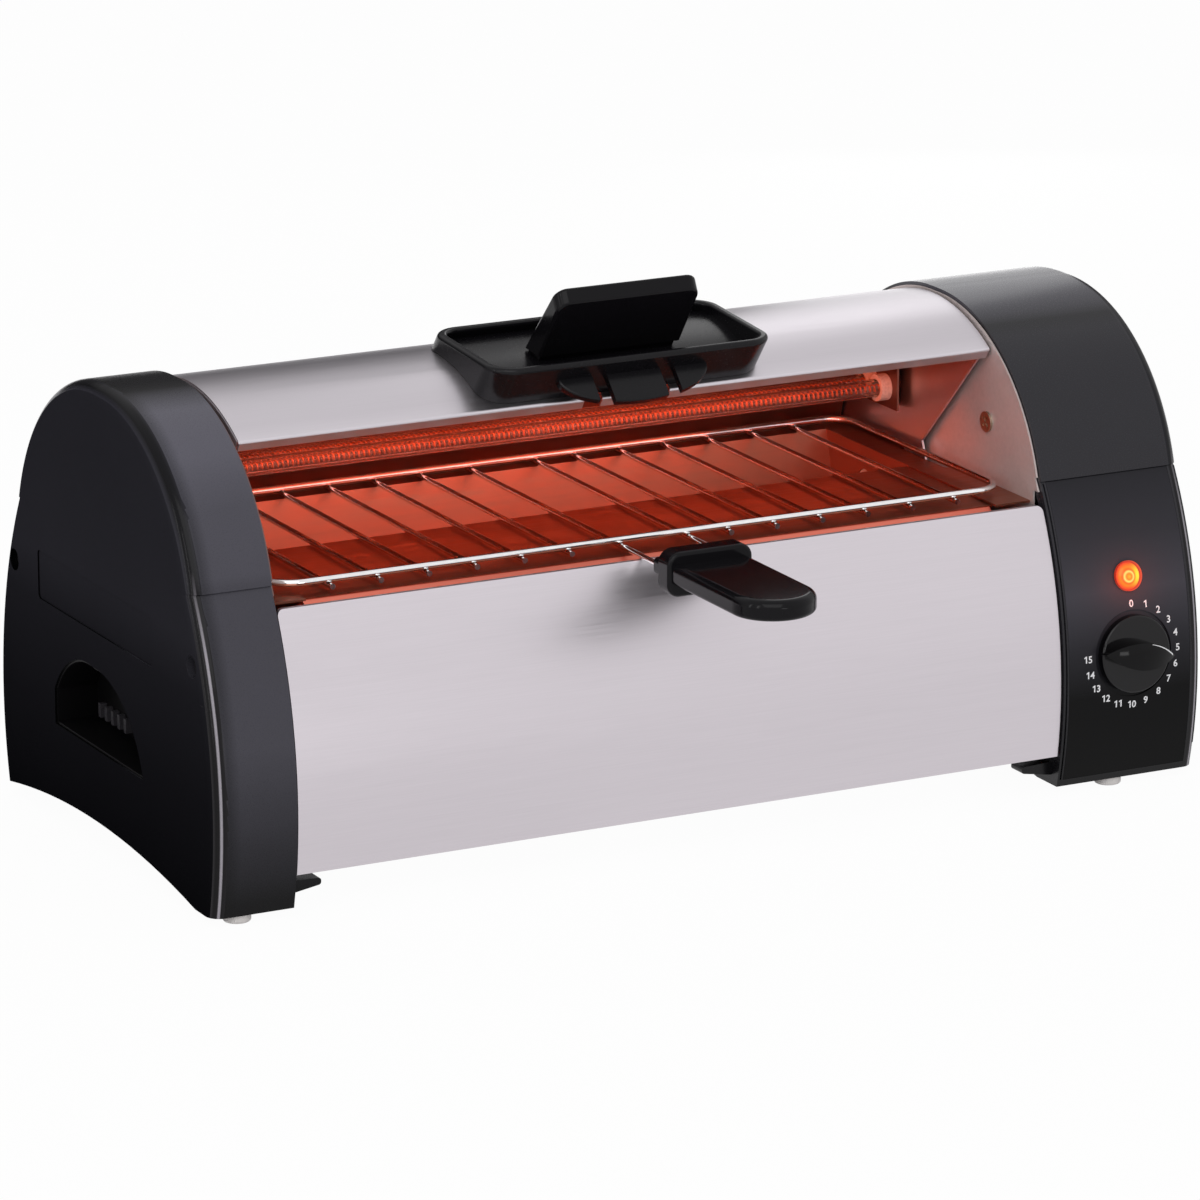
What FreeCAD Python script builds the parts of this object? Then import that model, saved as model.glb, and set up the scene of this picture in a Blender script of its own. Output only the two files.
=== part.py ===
import FreeCAD, Part
import math
import os

# Roll toaster: two end caps, a stainless tunnel with a swinging hood, a wire rack and a timer.
# X runs along the tunnel, Y from front to back, Z up. All lengths are in millimetres.
# The model is drawn about the middle of the tunnel, near the caps' lower edge, and moved at the end.

V = FreeCAD.Vector

# Tunnel, hood and pivot: the sizes that the rest is laid out from
tunnel_half = 160.0
pivot_z = 91.0
hood_radius = 82.5

# End caps
left_cap_width = 32.5
right_cap_width = 62.0
cap_wall = 2.8
cap_edge_radius = 6.0
cap_low_z = -0.6
cap_arch_rise = 7.6
cap_arch_half = 85.5
cap_arch_middle_y = 7.0

# Section of the caps: a dome over two flared flanks, with a small step between them
dome_under_hood = 2.1
dome_lift = 3.7
dome_half_flat = 3.35
flank_radius = 165.0
flank_beyond_hood = 18.0
flank_widest_z = 36.0
step_z = 116.0
dome_radius = hood_radius - dome_under_hood
dome_centre_z = pivot_z + dome_lift
flank_widest_y = hood_radius + flank_beyond_hood
flank_centre_y = flank_radius - flank_widest_y
left_cap_outer_x = -tunnel_half - left_cap_width
right_cap_outer_x = tunnel_half + right_cap_width

# Sheet metal
sheet = 0.8
wall_sheet = 0.7
sheet_gap = 0.25
cover_inset = 1.0
cover_low_z = 12.0
cover_top_z = 107.5
cover_hem = 6.0
cover_return = 9.0
cover_end_gap = 0.7
cover_corner = 2.5

# Side walls of the chamber
wall_gap = 0.3
wall_inset = 1.3
wall_low_z = 12.4
wall_flange = 12.0
wall_flange_low_z = 14.0
wall_flange_top_z = 100.0
wall_notch_under_hood = 5.5
wall_notch_top_z = 112.0
wall_notch_y = hood_radius - wall_notch_under_hood
wall_outer_x = tunnel_half - wall_gap
wall_inner_x = wall_outer_x - wall_sheet

# Hood
hood_front_angle = 33.05
hood_close_angle = 45.1
hood_end_gap = 2.0
hood_shift = 1.0
hood_hem = 4.6
hood_corner_radius = 1.2
hood_rest_gap = 0.8
hood_plate_inset = 0.8
hood_plate_rim = 6.0
hood_plate_low = 17.3
lug_radius = 10.0
lug_neck = 15.0
notch_width = 7.6
notch_height = 3.6
wire_clear_z = 0.4
stop_pad_inset = 37.0
stop_pad_half = 6.0
hood_half = wall_inner_x - hood_end_gap
plate_outer_x = hood_half - hood_plate_inset
plate_inner_x = plate_outer_x - sheet
hood_rear_angle = math.degrees(math.acos((cover_top_z + hood_rest_gap - pivot_z) / hood_radius))

# Pivot pins
pin_radius = 3.0
pin_fit = 0.06
pin_head_radius = 5.0
pin_head = 1.5
pin_tail = 3.2
spacer_radius = 8.0
spacer_gap = 0.1

# Rear cover's upper part and the upper reflector, both inside the open hood
rear_gap = 1.5
rear_arc_start = 8.0
plate_clearance = 0.8
reflector_space = 12.2
reflector_foot = 11.0
tab_thickness = 0.8
tab_inset = 3.0
rear_arc_radius = hood_radius - sheet - rear_gap
reflector_radius = rear_arc_radius - reflector_space
fixed_half = plate_inner_x - plate_clearance
tab_inner_x = fixed_half - tab_inset

# Lower reflector, a trough under the rack
trough_end_margin = 10.6
trough_front_inside = 30.5
trough_rear_inside = 43.5
trough_front_run = 14.0
trough_rear_run = 8.0
trough_bottom_z = 78.0
ledge_gap = 0.3
lip_end_inset = 0.5
lip_top_z = 106.4
lip_length = 9.0
lip_slope = 32.0
ledge_slot_half = 17.5
ledge_overhang = 4.8
trough_half = fixed_half - trough_end_margin
trough_front_y = flank_widest_y - trough_front_inside
trough_rear_y = flank_widest_y - trough_rear_inside
trough_bottom_front_y = trough_front_y - trough_front_run
trough_bottom_rear_y = trough_rear_y - trough_rear_run
lip_half = trough_half - lip_end_inset
ledge_front_y = trough_front_y + ledge_overhang
ledge_top_z = cover_top_z + wire_clear_z - ledge_gap

# Heater tubes
tube_radius = 3.5
tube_wall = 0.9
coil_radius = 1.2
upper_tube_y = [23.5, 34.5]
upper_tube_inside = 27.7
lower_tube_y = [-26.0, 26.0]
lower_tube_lift = 14.5
holder_length = 4.6
holder_wall = 2.4
holder_fit = 0.1
terminal_length = 2.6
upper_tube_z = pivot_z + reflector_radius - upper_tube_inside
lower_tube_z = trough_bottom_z + lower_tube_lift

# Rack
frame_wire = 2.6
cross_wire = 2.2
rack_end_gap = 1.2
rack_corner = 11.0
rack_front_inside = 3.5
rack_rear_beyond = 1.5
cross_over = 2.6
cross_per_side = 6
cross_first_x = 33.3
cross_last_inset = 22.85
handle_wire_x = 14.1
rack_half = fixed_half - rack_end_gap
rack_front_y = trough_front_y - rack_front_inside
rack_rear_y = trough_rear_y + rack_rear_beyond
cross_pitch = (rack_half - cross_last_inset - cross_first_x) / (cross_per_side - 1)
cross_wire_z = cover_top_z + wire_clear_z + cross_wire / 2
frame_wire_z = cross_wire_z + (cross_wire + frame_wire) / 2

# Rack handle
handle_stand_off = 2.2
handle_length = 70.3
wire_in_handle = 6.3
collar_half = 17.5
collar_thick = 8.0
collar_under_wire = 9.2
collar_tall = 17.0
collar_corner = 5.0
paddle_half = 16.2
paddle_under_wire = 4.2
paddle_thick = 7.8
boss_radius = 2.2
boss_length = 6.0
boss_tall = 1.8
collar_back_y = flank_widest_y + handle_stand_off
collar_low_z = cross_wire_z - collar_under_wire
collar_top_z = collar_low_z + collar_tall
paddle_tip_y = collar_back_y + handle_length
paddle_low_z = cross_wire_z - paddle_under_wire
handle_wire_end_y = collar_back_y + wire_in_handle

# Tray on the hood, its tongue and the grip plate; angles lean forward from the pivot
front_parts_x = 2.2
tray_half = 58.9
tray_depth = 58.1
tray_front_rise = 19.5
tray_front_angle = 32.5
tray_tilt = 4.1
tray_lean = 38.3
tray_corner = 11.0
tray_rim = 3.8
tray_floor = 3.2
tray_rim_outer_round = 1.5
tray_rim_inner_round = 1.1
tray_seat_gap = 0.1
tray_wall_reach = 34.0
tray_screw_x = 36.0
tray_screw_angle = 15.0
tongue_half = 31.0
tongue_reach = 12.3
tongue_thick = 2.8
tongue_drop = 9.0
tongue_slope = 46.0
slot_width = 6.0
grip_half = 29.6
grip_foot_rise = 6.55
grip_foot_angle = 20.15
grip_section = [(0.0, 0.0), (12.4, 1.2), (-14.0, 29.2), (-16.9, 23.4)]
grip_corner = 5.0
grip_edge = 1.2
grip_neck_inset = 1.6

# Crumb tray
crumb_end_gap = 5.0
crumb_front_gap = 4.0
crumb_rear_inside = 3.2
crumb_edge = 4.0
crumb_slot_gap = 0.5
crumb_grip_half = 45.0
crumb_grip_tall = 12.0
crumb_grip_deep = 3.2
crumb_half = trough_half - crumb_end_gap
crumb_front_y = trough_bottom_front_y - crumb_front_gap
crumb_rear_y = flank_widest_y - crumb_rear_inside

# Control panel, timer and lamp; the dial and the lamp are set off from the tunnel's end
panel_thick = 2.2
panel_edge = 5.9
panel_low_z = 2.2
panel_gap = 0.12
panel_start = 2.5
rim_groove_start = 0.9
rim_groove_wide = 0.7
rim_groove_deep = 0.8
panel_ledge = 2.6
window_margin = 8.0
window_above_panel_foot = 14.8
dial_from_tunnel = 30.95
dial_z = 49.3
dish_radius = 16.8
dish_depth = 1.4
dish_floor = 2.0
pad_rim = 2.5
knob_radius = 15.0
knob_disc = 3.4
knob_lift = 0.4
grip_bar_half = 15.3
grip_bar_tall = 7.0
grip_bar_wide = 10.5
knob_rest_minutes = 5.4
degrees_per_minute = 18.0
shaft_radius = 3.0
shaft_fit = 0.06
timer_width = 33.0
timer_tall = 34.0
timer_deep = 22.0
timer_screw_x = 11.0
bell_radius = 15.0
bell_deep = 7.0
lamp_from_tunnel = 30.5
lamp_z = 78.7
lamp_radius = 5.85
lamp_hole_radius = 5.2
lamp_deep = 12.0
dial_x = tunnel_half + dial_from_tunnel
lamp_x = tunnel_half + lamp_from_tunnel

# Side faces of the caps
grip_low_z = 36.4
grip_rear = (44.4, 49.0)
grip_rear_bend = (33.5, 60.4)
grip_top = (8.0, 66.2)
grip_front_bend = (-21.0, 57.3)
grip_front_y = -35.6
grip_rim = 0.8
grip_depth = 17.0
grip_wall = 2.4
grip_rib_count = 5
grip_rib_pitch = 5.9
grip_rib_first_y = 12.2
recess_half = 53.0
recess_middle_y = 6.0
recess_low_z = 81.0
recess_tall = 19.0
recess_depth = 0.6
cap_screw_inside = 18.5
cap_screw_z = 90.3
cap_screw_radius = 2.0
screw_recess_radius = 4.2
screw_recess_depth = 5.0
cap_boss_radius = 6.3
cap_screw_y = flank_widest_y - cap_screw_inside

# Base, feet and small parts
tongue_low_z = 5.2
tongue_top_z = 8.2
base_low_z = 9.4
wedge_length = 12.9
wedge_front_y = -92.0
wedge_deep = 8.0
wedge_tip_radius = 1.15
foot_radius = 5.2
foot_height = 4.0
foot_peg_radius = 2.2
foot_peg = 4.0
foot_sink = 1.6
foot_inside = 10.0
foot_inset_left = 12.5
foot_inset_left_rear = 20.0
foot_inset_right = 35.7
tongue_inside_foot = 29.5
vent_rows = 4
vent_columns = 6
vent_length = 34.0
vent_width = 5.0
wall_screw_inside = 40.5
wall_screw_z = 131.0
inlet_from_tunnel = 32.0
inlet_z = 27.0
inlet_hole_radius = 4.0
inlet_radius = 8.0
shield_stand_off = 6.0
shield_inside_hood = 20.5
shield_low_z = 12.0
shield_rise = 49.0
terminal_from_tunnel = 16.0
terminal_half_y = 7.0
terminal_y = 41.0
terminal_top_z = 25.0
terminal_pitch = 10.0
cutout_inset = 44.0
cutout_radius = 8.0
cutout_tall = 7.0
running_gap = 0.3
foot_y = flank_widest_y - foot_inside
tongue_y = [-(foot_y - tongue_inside_foot), foot_y - tongue_inside_foot]
wall_screw_y = hood_radius - wall_screw_inside
inlet_x = tunnel_half + inlet_from_tunnel


def flank_y(z, inset=0.0):
    """Half depth of the flared flank at a height."""
    return math.sqrt((flank_radius - inset) ** 2 - (z - flank_widest_z) ** 2) - flank_centre_y


def dome_y(z, inset=0.0):
    """Half depth of the dome at a height."""
    return dome_half_flat + math.sqrt((dome_radius - inset) ** 2 - (z - dome_centre_z) ** 2)


def polar(radius, angle):
    """Y and Z of a point about the hood's pivot; the angle leans back from straight up."""
    turn = math.radians(angle)
    return radius * math.sin(turn), pivot_z + radius * math.cos(turn)


def box(x0, x1, y0, y1, z0, z1):
    return Part.makeBox(x1 - x0, y1 - y0, z1 - z0, V(x0, y0, z0))


def rod(start, end, radius):
    way = end.sub(start)
    return Part.makeCylinder(radius, way.Length, start, way)


def arc(a, b, c):
    return Part.Arc(a, b, c).toShape()


def line(a, b):
    return Part.makeLine(a, b)


def prism(edges, x0, x1):
    """Extrude a closed outline, drawn at x = 0, from x0 to x1."""
    face = Part.Face(Part.Wire(edges))
    face.translate(V(x0, 0, 0))
    return face.extrude(V(x1 - x0, 0, 0))


def polygon_prism(points, x0, x1):
    corners = [V(0, y, z) for y, z in points]
    return prism([line(a, b) for a, b in zip(corners, corners[1:] + corners[:1])], x0, x1)


def fillet(shape, radius, wanted):
    """Round the edges whose middle point passes a test."""
    picked = [edge for edge in shape.Edges if wanted(edge, edge.valueAt(middle(edge)))]
    return shape.makeFillet(radius, picked) if picked else shape


def middle(edge):
    return (edge.FirstParameter + edge.LastParameter) / 2


def straight_along(edge, axis):
    """True for a straight edge that runs along an axis."""
    if len(edge.Vertexes) < 2 or edge.Curve.TypeId != "Part::GeomLine":
        return False
    way = edge.Vertexes[1].Point.sub(edge.Vertexes[0].Point)
    return way.Length > 0 and abs(way.dot(axis)) > 0.999 * way.Length


def flank_arc(side, inset, z0, z1):
    points = [V(0, side * flank_y(z, inset), z) for z in (z0, (z0 + z1) / 2, z1)]
    return arc(*points)


def body_outline(inset, base_z):
    """Closed section of the caps, drawn smaller all round by an inset."""
    step = step_z + inset
    top = dome_centre_z + dome_radius - inset
    shoulder_z = dome_centre_z + (dome_radius - inset) * math.sin(math.radians(55))
    edges = [flank_arc(-1, inset, base_z, step)]
    edges.append(line(V(0, -flank_y(step, inset), step), V(0, -dome_y(step, inset), step)))
    edges.append(arc(V(0, -dome_y(step, inset), step), V(0, -dome_y(shoulder_z, inset), shoulder_z),
                     V(0, -dome_half_flat, top)))
    edges.append(line(V(0, -dome_half_flat, top), V(0, dome_half_flat, top)))
    edges.append(arc(V(0, dome_half_flat, top), V(0, dome_y(shoulder_z, inset), shoulder_z),
                     V(0, dome_y(step, inset), step)))
    edges.append(line(V(0, dome_y(step, inset), step), V(0, flank_y(step, inset), step)))
    edges.append(flank_arc(1, inset, step, base_z))
    edges.append(line(V(0, flank_y(base_z, inset), base_z), V(0, -flank_y(base_z, inset), base_z)))
    return edges


def flank_band(side, inset, thick, z0, z1, x0, x1):
    """A curved sheet that follows one flank."""
    low_out = V(0, side * flank_y(z0, inset), z0)
    low_in = V(0, side * flank_y(z0, inset + thick), z0)
    top_out = V(0, side * flank_y(z1, inset), z1)
    top_in = V(0, side * flank_y(z1, inset + thick), z1)
    edges = [flank_arc(side, inset, z0, z1), line(top_out, top_in),
             flank_arc(side, inset + thick, z1, z0), line(low_in, low_out)]
    return prism(edges, x0, x1)


def arc_band(radius, thick, start, end, x0, x1):
    """A curved sheet about the hood's pivot, between two angles."""
    half_way = (start + end) / 2
    outer = [V(0, *polar(radius, angle)) for angle in (start, half_way, end)]
    inner = [V(0, *polar(radius - thick, angle)) for angle in (end, half_way, start)]
    edges = [arc(*outer), line(outer[2], inner[0]), arc(*inner), line(inner[2], outer[0])]
    return prism(edges, x0, x1)


def radial_strip(radius, length, angle, thick, x0, x1):
    """A flat strip that stands on the pivot's radius, its far face at the angle."""
    strip = box(x0, x1, 0, thick, radius - length, radius)
    strip.rotate(V(0, 0, 0), V(1, 0, 0), -angle)
    strip.translate(V(0, 0, pivot_z))
    return strip


def rounded_rectangle(half_x, half_y, corner):
    """A face in the XY plane about the origin."""
    plate = box(-half_x, half_x, -half_y, half_y, 0, 1)
    plate = plate.makeFillet(corner, [e for e in plate.Edges if straight_along(e, V(0, 0, 1))])
    return [face for face in plate.Faces if abs(face.CenterOfMass.z) < 1e-6][0]


def panel_place(x, z):
    """Placement whose Z points out of the front flank at a point and whose X stays along X."""
    tilt = math.degrees(math.asin((z - flank_widest_z) / flank_radius))
    turn = FreeCAD.Rotation(V(1, 0, 0), 90.0 - tilt)
    return FreeCAD.Placement(V(x, -flank_y(z), z), turn)


def placed(shape, placement):
    result = shape.copy()
    result.Placement = placement.multiply(result.Placement)
    return result


def mirrored_x(shape):
    return shape.mirror(V(0, 0, 0), V(1, 0, 0))


def half_moon(grow, x0, x1):
    """The grip pocket's outline: a flat floor, a straight rear and an arch, larger by a wall."""
    low_rear = V(0, grip_rear[0], grip_low_z)
    low_front = V(0, grip_front_y, grip_low_z)
    rear, rear_bend, top, front_bend = [V(0, *point) for point in
                                        (grip_rear, grip_rear_bend, grip_top, grip_front_bend)]
    edges = [line(low_rear, rear), arc(rear, rear_bend, top), arc(top, front_bend, low_front),
             line(low_front, low_rear)]
    face = Part.Face(Part.Wire(edges))
    if grow:
        face = face.makeOffset2D(grow)
    face.translate(V(x0, 0, 0))
    return face.extrude(V(x1 - x0, 0, 0))


def cap_shell(inner_x, outer_x):
    """Moulded cap between its open inner edge and its outer face; outer_x is the larger."""
    outline = body_outline(0.0, cap_low_z)
    top_left = V(0, -dome_y(step_z), step_z)
    top_right = V(0, dome_y(step_z), step_z)
    dome = prism(outline[2:5] + [line(top_right, top_left)], inner_x, outer_x)
    dome = fillet(dome, cap_edge_radius,
                  lambda edge, p: abs(p.x - outer_x) < 1e-6 and p.z > step_z + 0.5)
    flank_top = line(V(0, -flank_y(step_z), step_z), V(0, flank_y(step_z), step_z))
    low = prism([outline[0], flank_top] + outline[6:], inner_x, outer_x)
    low = fillet(low, cap_edge_radius - 0.5, lambda edge, p: on_outer_flank(edge, outer_x))
    arch_radius = (cap_arch_half ** 2 + cap_arch_rise ** 2) / (2 * cap_arch_rise)
    arch = Part.makeCylinder(arch_radius, outer_x - inner_x,
                             V(inner_x, cap_arch_middle_y, cap_arch_rise - arch_radius), V(1, 0, 0))
    body = dome.fuse(low.cut(arch)).removeSplitter()
    cavity = prism(body_outline(cap_wall, cap_arch_rise + cap_wall), inner_x - 1, outer_x - cap_wall)
    return body.cut(cavity)


def on_outer_flank(edge, outer_x):
    p = edge.valueAt(middle(edge))
    beside = abs(p.y) > flank_y(step_z) + 3.0
    return abs(p.x - outer_x) < 1e-6 and beside and edge.Curve.TypeId == "Part::GeomCircle"


def cap_wedge(inner_x):
    """Tapered ear under the front cover's end, with a round tip."""
    tip_x = inner_x - wedge_length
    points = [V(inner_x + 0.5, 0, 3.0), V(inner_x + 0.5, 0, 8.2), V(tip_x, 0, 7.7), V(tip_x, 0, 5.2)]
    outline = Part.Wire([line(a, b) for a, b in zip(points, points[1:] + points[:1])])
    ear = Part.Face(outline).extrude(V(0, wedge_deep, 0))
    ear = fillet(ear, wedge_tip_radius, lambda edge, p: straight_along(edge, V(0, 1, 0))
                 and abs(p.x - tip_x) < 1e-6)
    ear.translate(V(0, wedge_front_y, 0))
    return ear


def cap_side_details(cap, inner_x, outer_x):
    """Grip pocket, screw bosses and the tongues under the tunnel, on a cap at +X."""
    floor_x = outer_x - grip_depth
    cap = cap.fuse(half_moon(grip_wall, floor_x - grip_wall, outer_x - cap_wall / 2))
    cap = cap.cut(half_moon(0.0, floor_x, outer_x + 1))
    cap = cap.cut(half_moon(grip_rim, outer_x - grip_rim, outer_x + 1))
    for index in range(grip_rib_count):
        y = grip_rib_first_y + index * grip_rib_pitch
        cap = cap.fuse(box(floor_x - grip_wall / 2, floor_x + 2.5, y, y + 2.2,
                           grip_low_z + 1.8, grip_low_z + 7.2))
    for y in (-cap_screw_y, cap_screw_y):
        seat_x = outer_x - screw_recess_depth
        boss = rod(V(inner_x + 0.2, y, cap_screw_z), V(outer_x - cap_wall / 2, y, cap_screw_z),
                   cap_boss_radius)
        inside = prism(body_outline(cap_wall / 2, cap_arch_rise), inner_x, outer_x)
        cap = cap.fuse(boss.common(inside))
        cap = cap.cut(rod(V(seat_x, y, cap_screw_z), V(outer_x + 1, y, cap_screw_z),
                          screw_recess_radius))
        cap = cap.cut(rod(V(inner_x - 1, y, cap_screw_z), V(outer_x, y, cap_screw_z),
                          cap_screw_radius + holder_fit))
    for y in tongue_y:
        cap = cap.fuse(box(inner_x - 14.5, inner_x + 4, y - 5, y + 5, tongue_low_z, tongue_top_z))
        cap = cap.fuse(box(inner_x - 12.5, inner_x - 3.5, y - 4.5, y + 4.5, tongue_top_z - 0.01,
                           base_low_z - 0.1))
    cap = cap.fuse(cap_wedge(inner_x))
    for y in (-foot_y, foot_y):
        x = foot_x(inner_x, outer_x, y)
        cap = cap.cut(rod(V(x, y, -1), V(x, y, foot_peg + running_gap), foot_peg_radius + 0.05))
    return cap


def foot_x(inner_x, outer_x, y):
    """Where a foot stands under a cap, set in from its outer face; the narrow cap's rear one further."""
    if outer_x - inner_x > 45:
        return outer_x - foot_inset_right
    return outer_x - (foot_inset_left if y < 0 else foot_inset_left_rear)


def left_end_cap():
    cap = cap_shell(tunnel_half, -left_cap_outer_x)
    cap = mirrored_x(cap_side_details(cap, tunnel_half, -left_cap_outer_x))
    recess = box(left_cap_outer_x - 1, left_cap_outer_x + recess_depth,
                 recess_middle_y - recess_half, recess_middle_y + recess_half,
                 recess_low_z, recess_low_z + recess_tall)
    return cap.cut(fillet(recess, 2.0, lambda edge, p: straight_along(edge, V(1, 0, 0))))


def panel_slab(inset, thick, grow):
    """The control panel's curved slab, or the rebate for it, larger by a gap."""
    return flank_band(-1, inset, thick, panel_low_z - grow, step_z - 0.6 + grow,
                      tunnel_half + panel_start - grow,
                      right_cap_outer_x - panel_edge + grow)


def right_end_cap():
    cap = cap_shell(tunnel_half, right_cap_outer_x)
    backing = flank_band(-1, cap_wall / 2, panel_thick + panel_ledge - cap_wall / 2,
                         cap_arch_rise + cap_wall / 2, step_z - 1,
                         tunnel_half + 0.01, right_cap_outer_x - cap_wall / 2)
    cap = cap.fuse(backing)
    cap = cap_side_details(cap, tunnel_half, right_cap_outer_x)
    cap = cap.cut(panel_slab(-1.0, panel_thick + panel_gap + 1.0, panel_gap))
    groove_x = tunnel_half + rim_groove_start
    cap = cap.cut(flank_band(-1, -1.0, 1.0 + rim_groove_deep, panel_low_z, step_z - 1,
                             groove_x, groove_x + rim_groove_wide))
    window = flank_band(-1, -1.0, 1.0 + panel_thick + panel_ledge + 1.5,
                        panel_low_z + window_above_panel_foot, step_z - window_margin,
                        tunnel_half + window_margin, right_cap_outer_x - window_margin - cap_wall)
    cap = cap.cut(window)
    pad_room = Part.makeCylinder(dish_radius + pad_rim + 0.3, 12.0, V(0, 0, -12.0))
    cap = cap.cut(placed(pad_room, panel_place(dial_x, dial_z)))
    face_y = flank_y(inlet_z) - 0.3
    cap = cap.cut(rod(V(inlet_x, face_y - 12, inlet_z), V(inlet_x, face_y + 5, inlet_z),
                      inlet_radius - 1.55))
    return cap.cut(rod(V(inlet_x, face_y - 1.42, inlet_z), V(inlet_x, face_y + 5, inlet_z),
                       inlet_radius + 0.05))


def control_panel():
    panel = panel_slab(0.0, panel_thick, 0.0)
    dial = panel_place(dial_x, dial_z)
    pad = Part.makeCylinder(dish_radius + pad_rim, dish_depth + dish_floor, V(0, 0, -dish_depth - dish_floor))
    dish = Part.makeCylinder(dish_radius, 10, V(0, 0, -dish_depth))
    shaft_hole = Part.makeCylinder(shaft_radius + 0.4, 20, V(0, 0, -10))
    panel = panel.fuse(placed(pad, dial).cut(flank_band(-1, -9, 9, panel_low_z, step_z - 1,
                                                        tunnel_half, right_cap_outer_x)))
    panel = panel.cut(placed(dish, dial)).cut(placed(shaft_hole, dial))
    lamp_hole = Part.makeCylinder(lamp_hole_radius, 20, V(0, 0, -10))
    return panel.cut(placed(lamp_hole, panel_place(lamp_x, lamp_z)))


def side_wall():
    """Right wall of the chamber: a plate with flanges for the covers."""
    upper = prism(body_outline(wall_inset, wall_low_z), wall_inner_x, wall_outer_x)
    lower_inset = cover_inset + 2 * sheet + sheet_gap
    lower = prism(body_outline(lower_inset, wall_low_z), wall_inner_x, wall_outer_x)
    reach = flank_widest_y
    above = box(wall_inner_x, wall_outer_x, -reach, reach, wall_notch_top_z, 200)
    below = box(wall_inner_x, wall_outer_x, -reach, reach, 0, wall_notch_top_z)
    wall = upper.common(above).fuse(lower.common(below))
    for side in (-1, 1):
        low, high = sorted((side * wall_notch_y, side * reach))
        wall = wall.cut(box(wall_inner_x - 1, wall_outer_x + 1, low, high,
                            cover_top_z - cover_hem, wall_notch_top_z))
        wall = wall.fuse(flank_band(side, lower_inset, sheet, wall_flange_low_z, wall_flange_top_z,
                                    wall_inner_x - wall_flange, wall_inner_x + 0.01))
    wall = wall.cut(rod(V(wall_inner_x - 1, 0, pivot_z), V(tunnel_half, 0, pivot_z),
                        pin_radius + pin_fit))
    for y, z in wall_screw_places() + [(-cap_screw_y, cap_screw_z), (cap_screw_y, cap_screw_z)]:
        wall = wall.cut(rod(V(wall_inner_x - 1, y, z), V(tunnel_half, y, z), cap_screw_radius + 0.05))
    return wall.removeSplitter()


def wall_screw_places():
    return [(-wall_screw_y, wall_screw_z), (wall_screw_y, wall_screw_z)]


def cover_flank(side):
    """Flank sheet shared by the front and rear covers, with its bottom return."""
    half = tunnel_half - cover_end_gap
    skin = flank_band(side, cover_inset, sheet, cover_low_z, cover_top_z, -half, half)
    low_y = flank_y(cover_low_z, cover_inset)
    y0, y1 = sorted((side * (low_y - 0.05), side * (low_y - cover_return)))
    reach = wall_inner_x - 0.3
    return skin.fuse(box(-reach, reach, y0, y1, cover_low_z, cover_low_z + sheet))


def front_cover():
    half = tunnel_half - cover_end_gap
    hem = flank_band(-1, cover_inset + sheet - 0.01, sheet, cover_top_z - cover_hem, cover_top_z,
                     -half, half)
    cover = cover_flank(-1).fuse(hem).removeSplitter()
    return fillet(cover, cover_corner, lambda edge, p: straight_along(edge, V(0, 1, 0))
                  and abs(p.z - cover_top_z) < 1e-6 and abs(abs(p.x) - half) < 1e-6)


def rear_cover():
    half = tunnel_half - cover_end_gap
    skin = cover_flank(1)
    start_y = math.sqrt(rear_arc_radius ** 2 - (cover_top_z - pivot_z) ** 2)
    skin = skin.fuse(box(-half, half, start_y - sheet, flank_y(cover_top_z, cover_inset) - 0.3,
                         cover_top_z - sheet, cover_top_z))
    end = math.degrees(math.acos((cover_top_z - sheet / 2 - pivot_z) / rear_arc_radius))
    skin = skin.fuse(arc_band(rear_arc_radius, sheet, rear_arc_start, end, -fixed_half, fixed_half))
    slot = box(-crumb_half - crumb_slot_gap, crumb_half + crumb_slot_gap, flank_widest_y - 20,
               flank_widest_y + 5, trough_bottom_z - 0.2, trough_bottom_z + crumb_edge + sheet)
    return skin.cut(slot).removeSplitter()


def base_plate():
    half_x = wall_inner_x - 0.3
    half_y = foot_y
    low = base_low_z
    top = cover_low_z - 0.2
    pan = box(-half_x, half_x, -half_y, half_y, low, low + sheet)
    for side in (-1, 1):
        y0, y1 = sorted((side * half_y, side * (half_y - sheet)))
        pan = pan.fuse(box(-half_x, half_x, y0, y1, low, top))
    column_pitch = 2 * half_x / (vent_columns + 1)
    row_pitch = 2 * half_y / (vent_rows + 2)
    for column in range(vent_columns):
        for row in range(vent_rows):
            x = (column - (vent_columns - 1) / 2) * column_pitch
            y = (row - (vent_rows - 1) / 2) * row_pitch
            pan = pan.cut(box(x - vent_length / 2, x + vent_length / 2,
                              y - vent_width / 2, y + vent_width / 2, 0, top))
    for x, y in base_screw_places():
        pan = pan.cut(rod(V(x, y, 0), V(x, y, 20), cap_screw_radius + 0.05))
    return pan


def base_screw_places():
    x = tunnel_half - 8.0
    return [(side * x, y) for side in (-1, 1) for y in tongue_y]


def trough_section(grow):
    """Section of the trough, larger all round by the sheet."""
    return [(-trough_front_y - grow, lip_top_z), (-trough_bottom_front_y - grow, trough_bottom_z - grow),
            (trough_bottom_rear_y + grow, trough_bottom_z - grow), (trough_rear_y + grow, ledge_top_z)]


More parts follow.
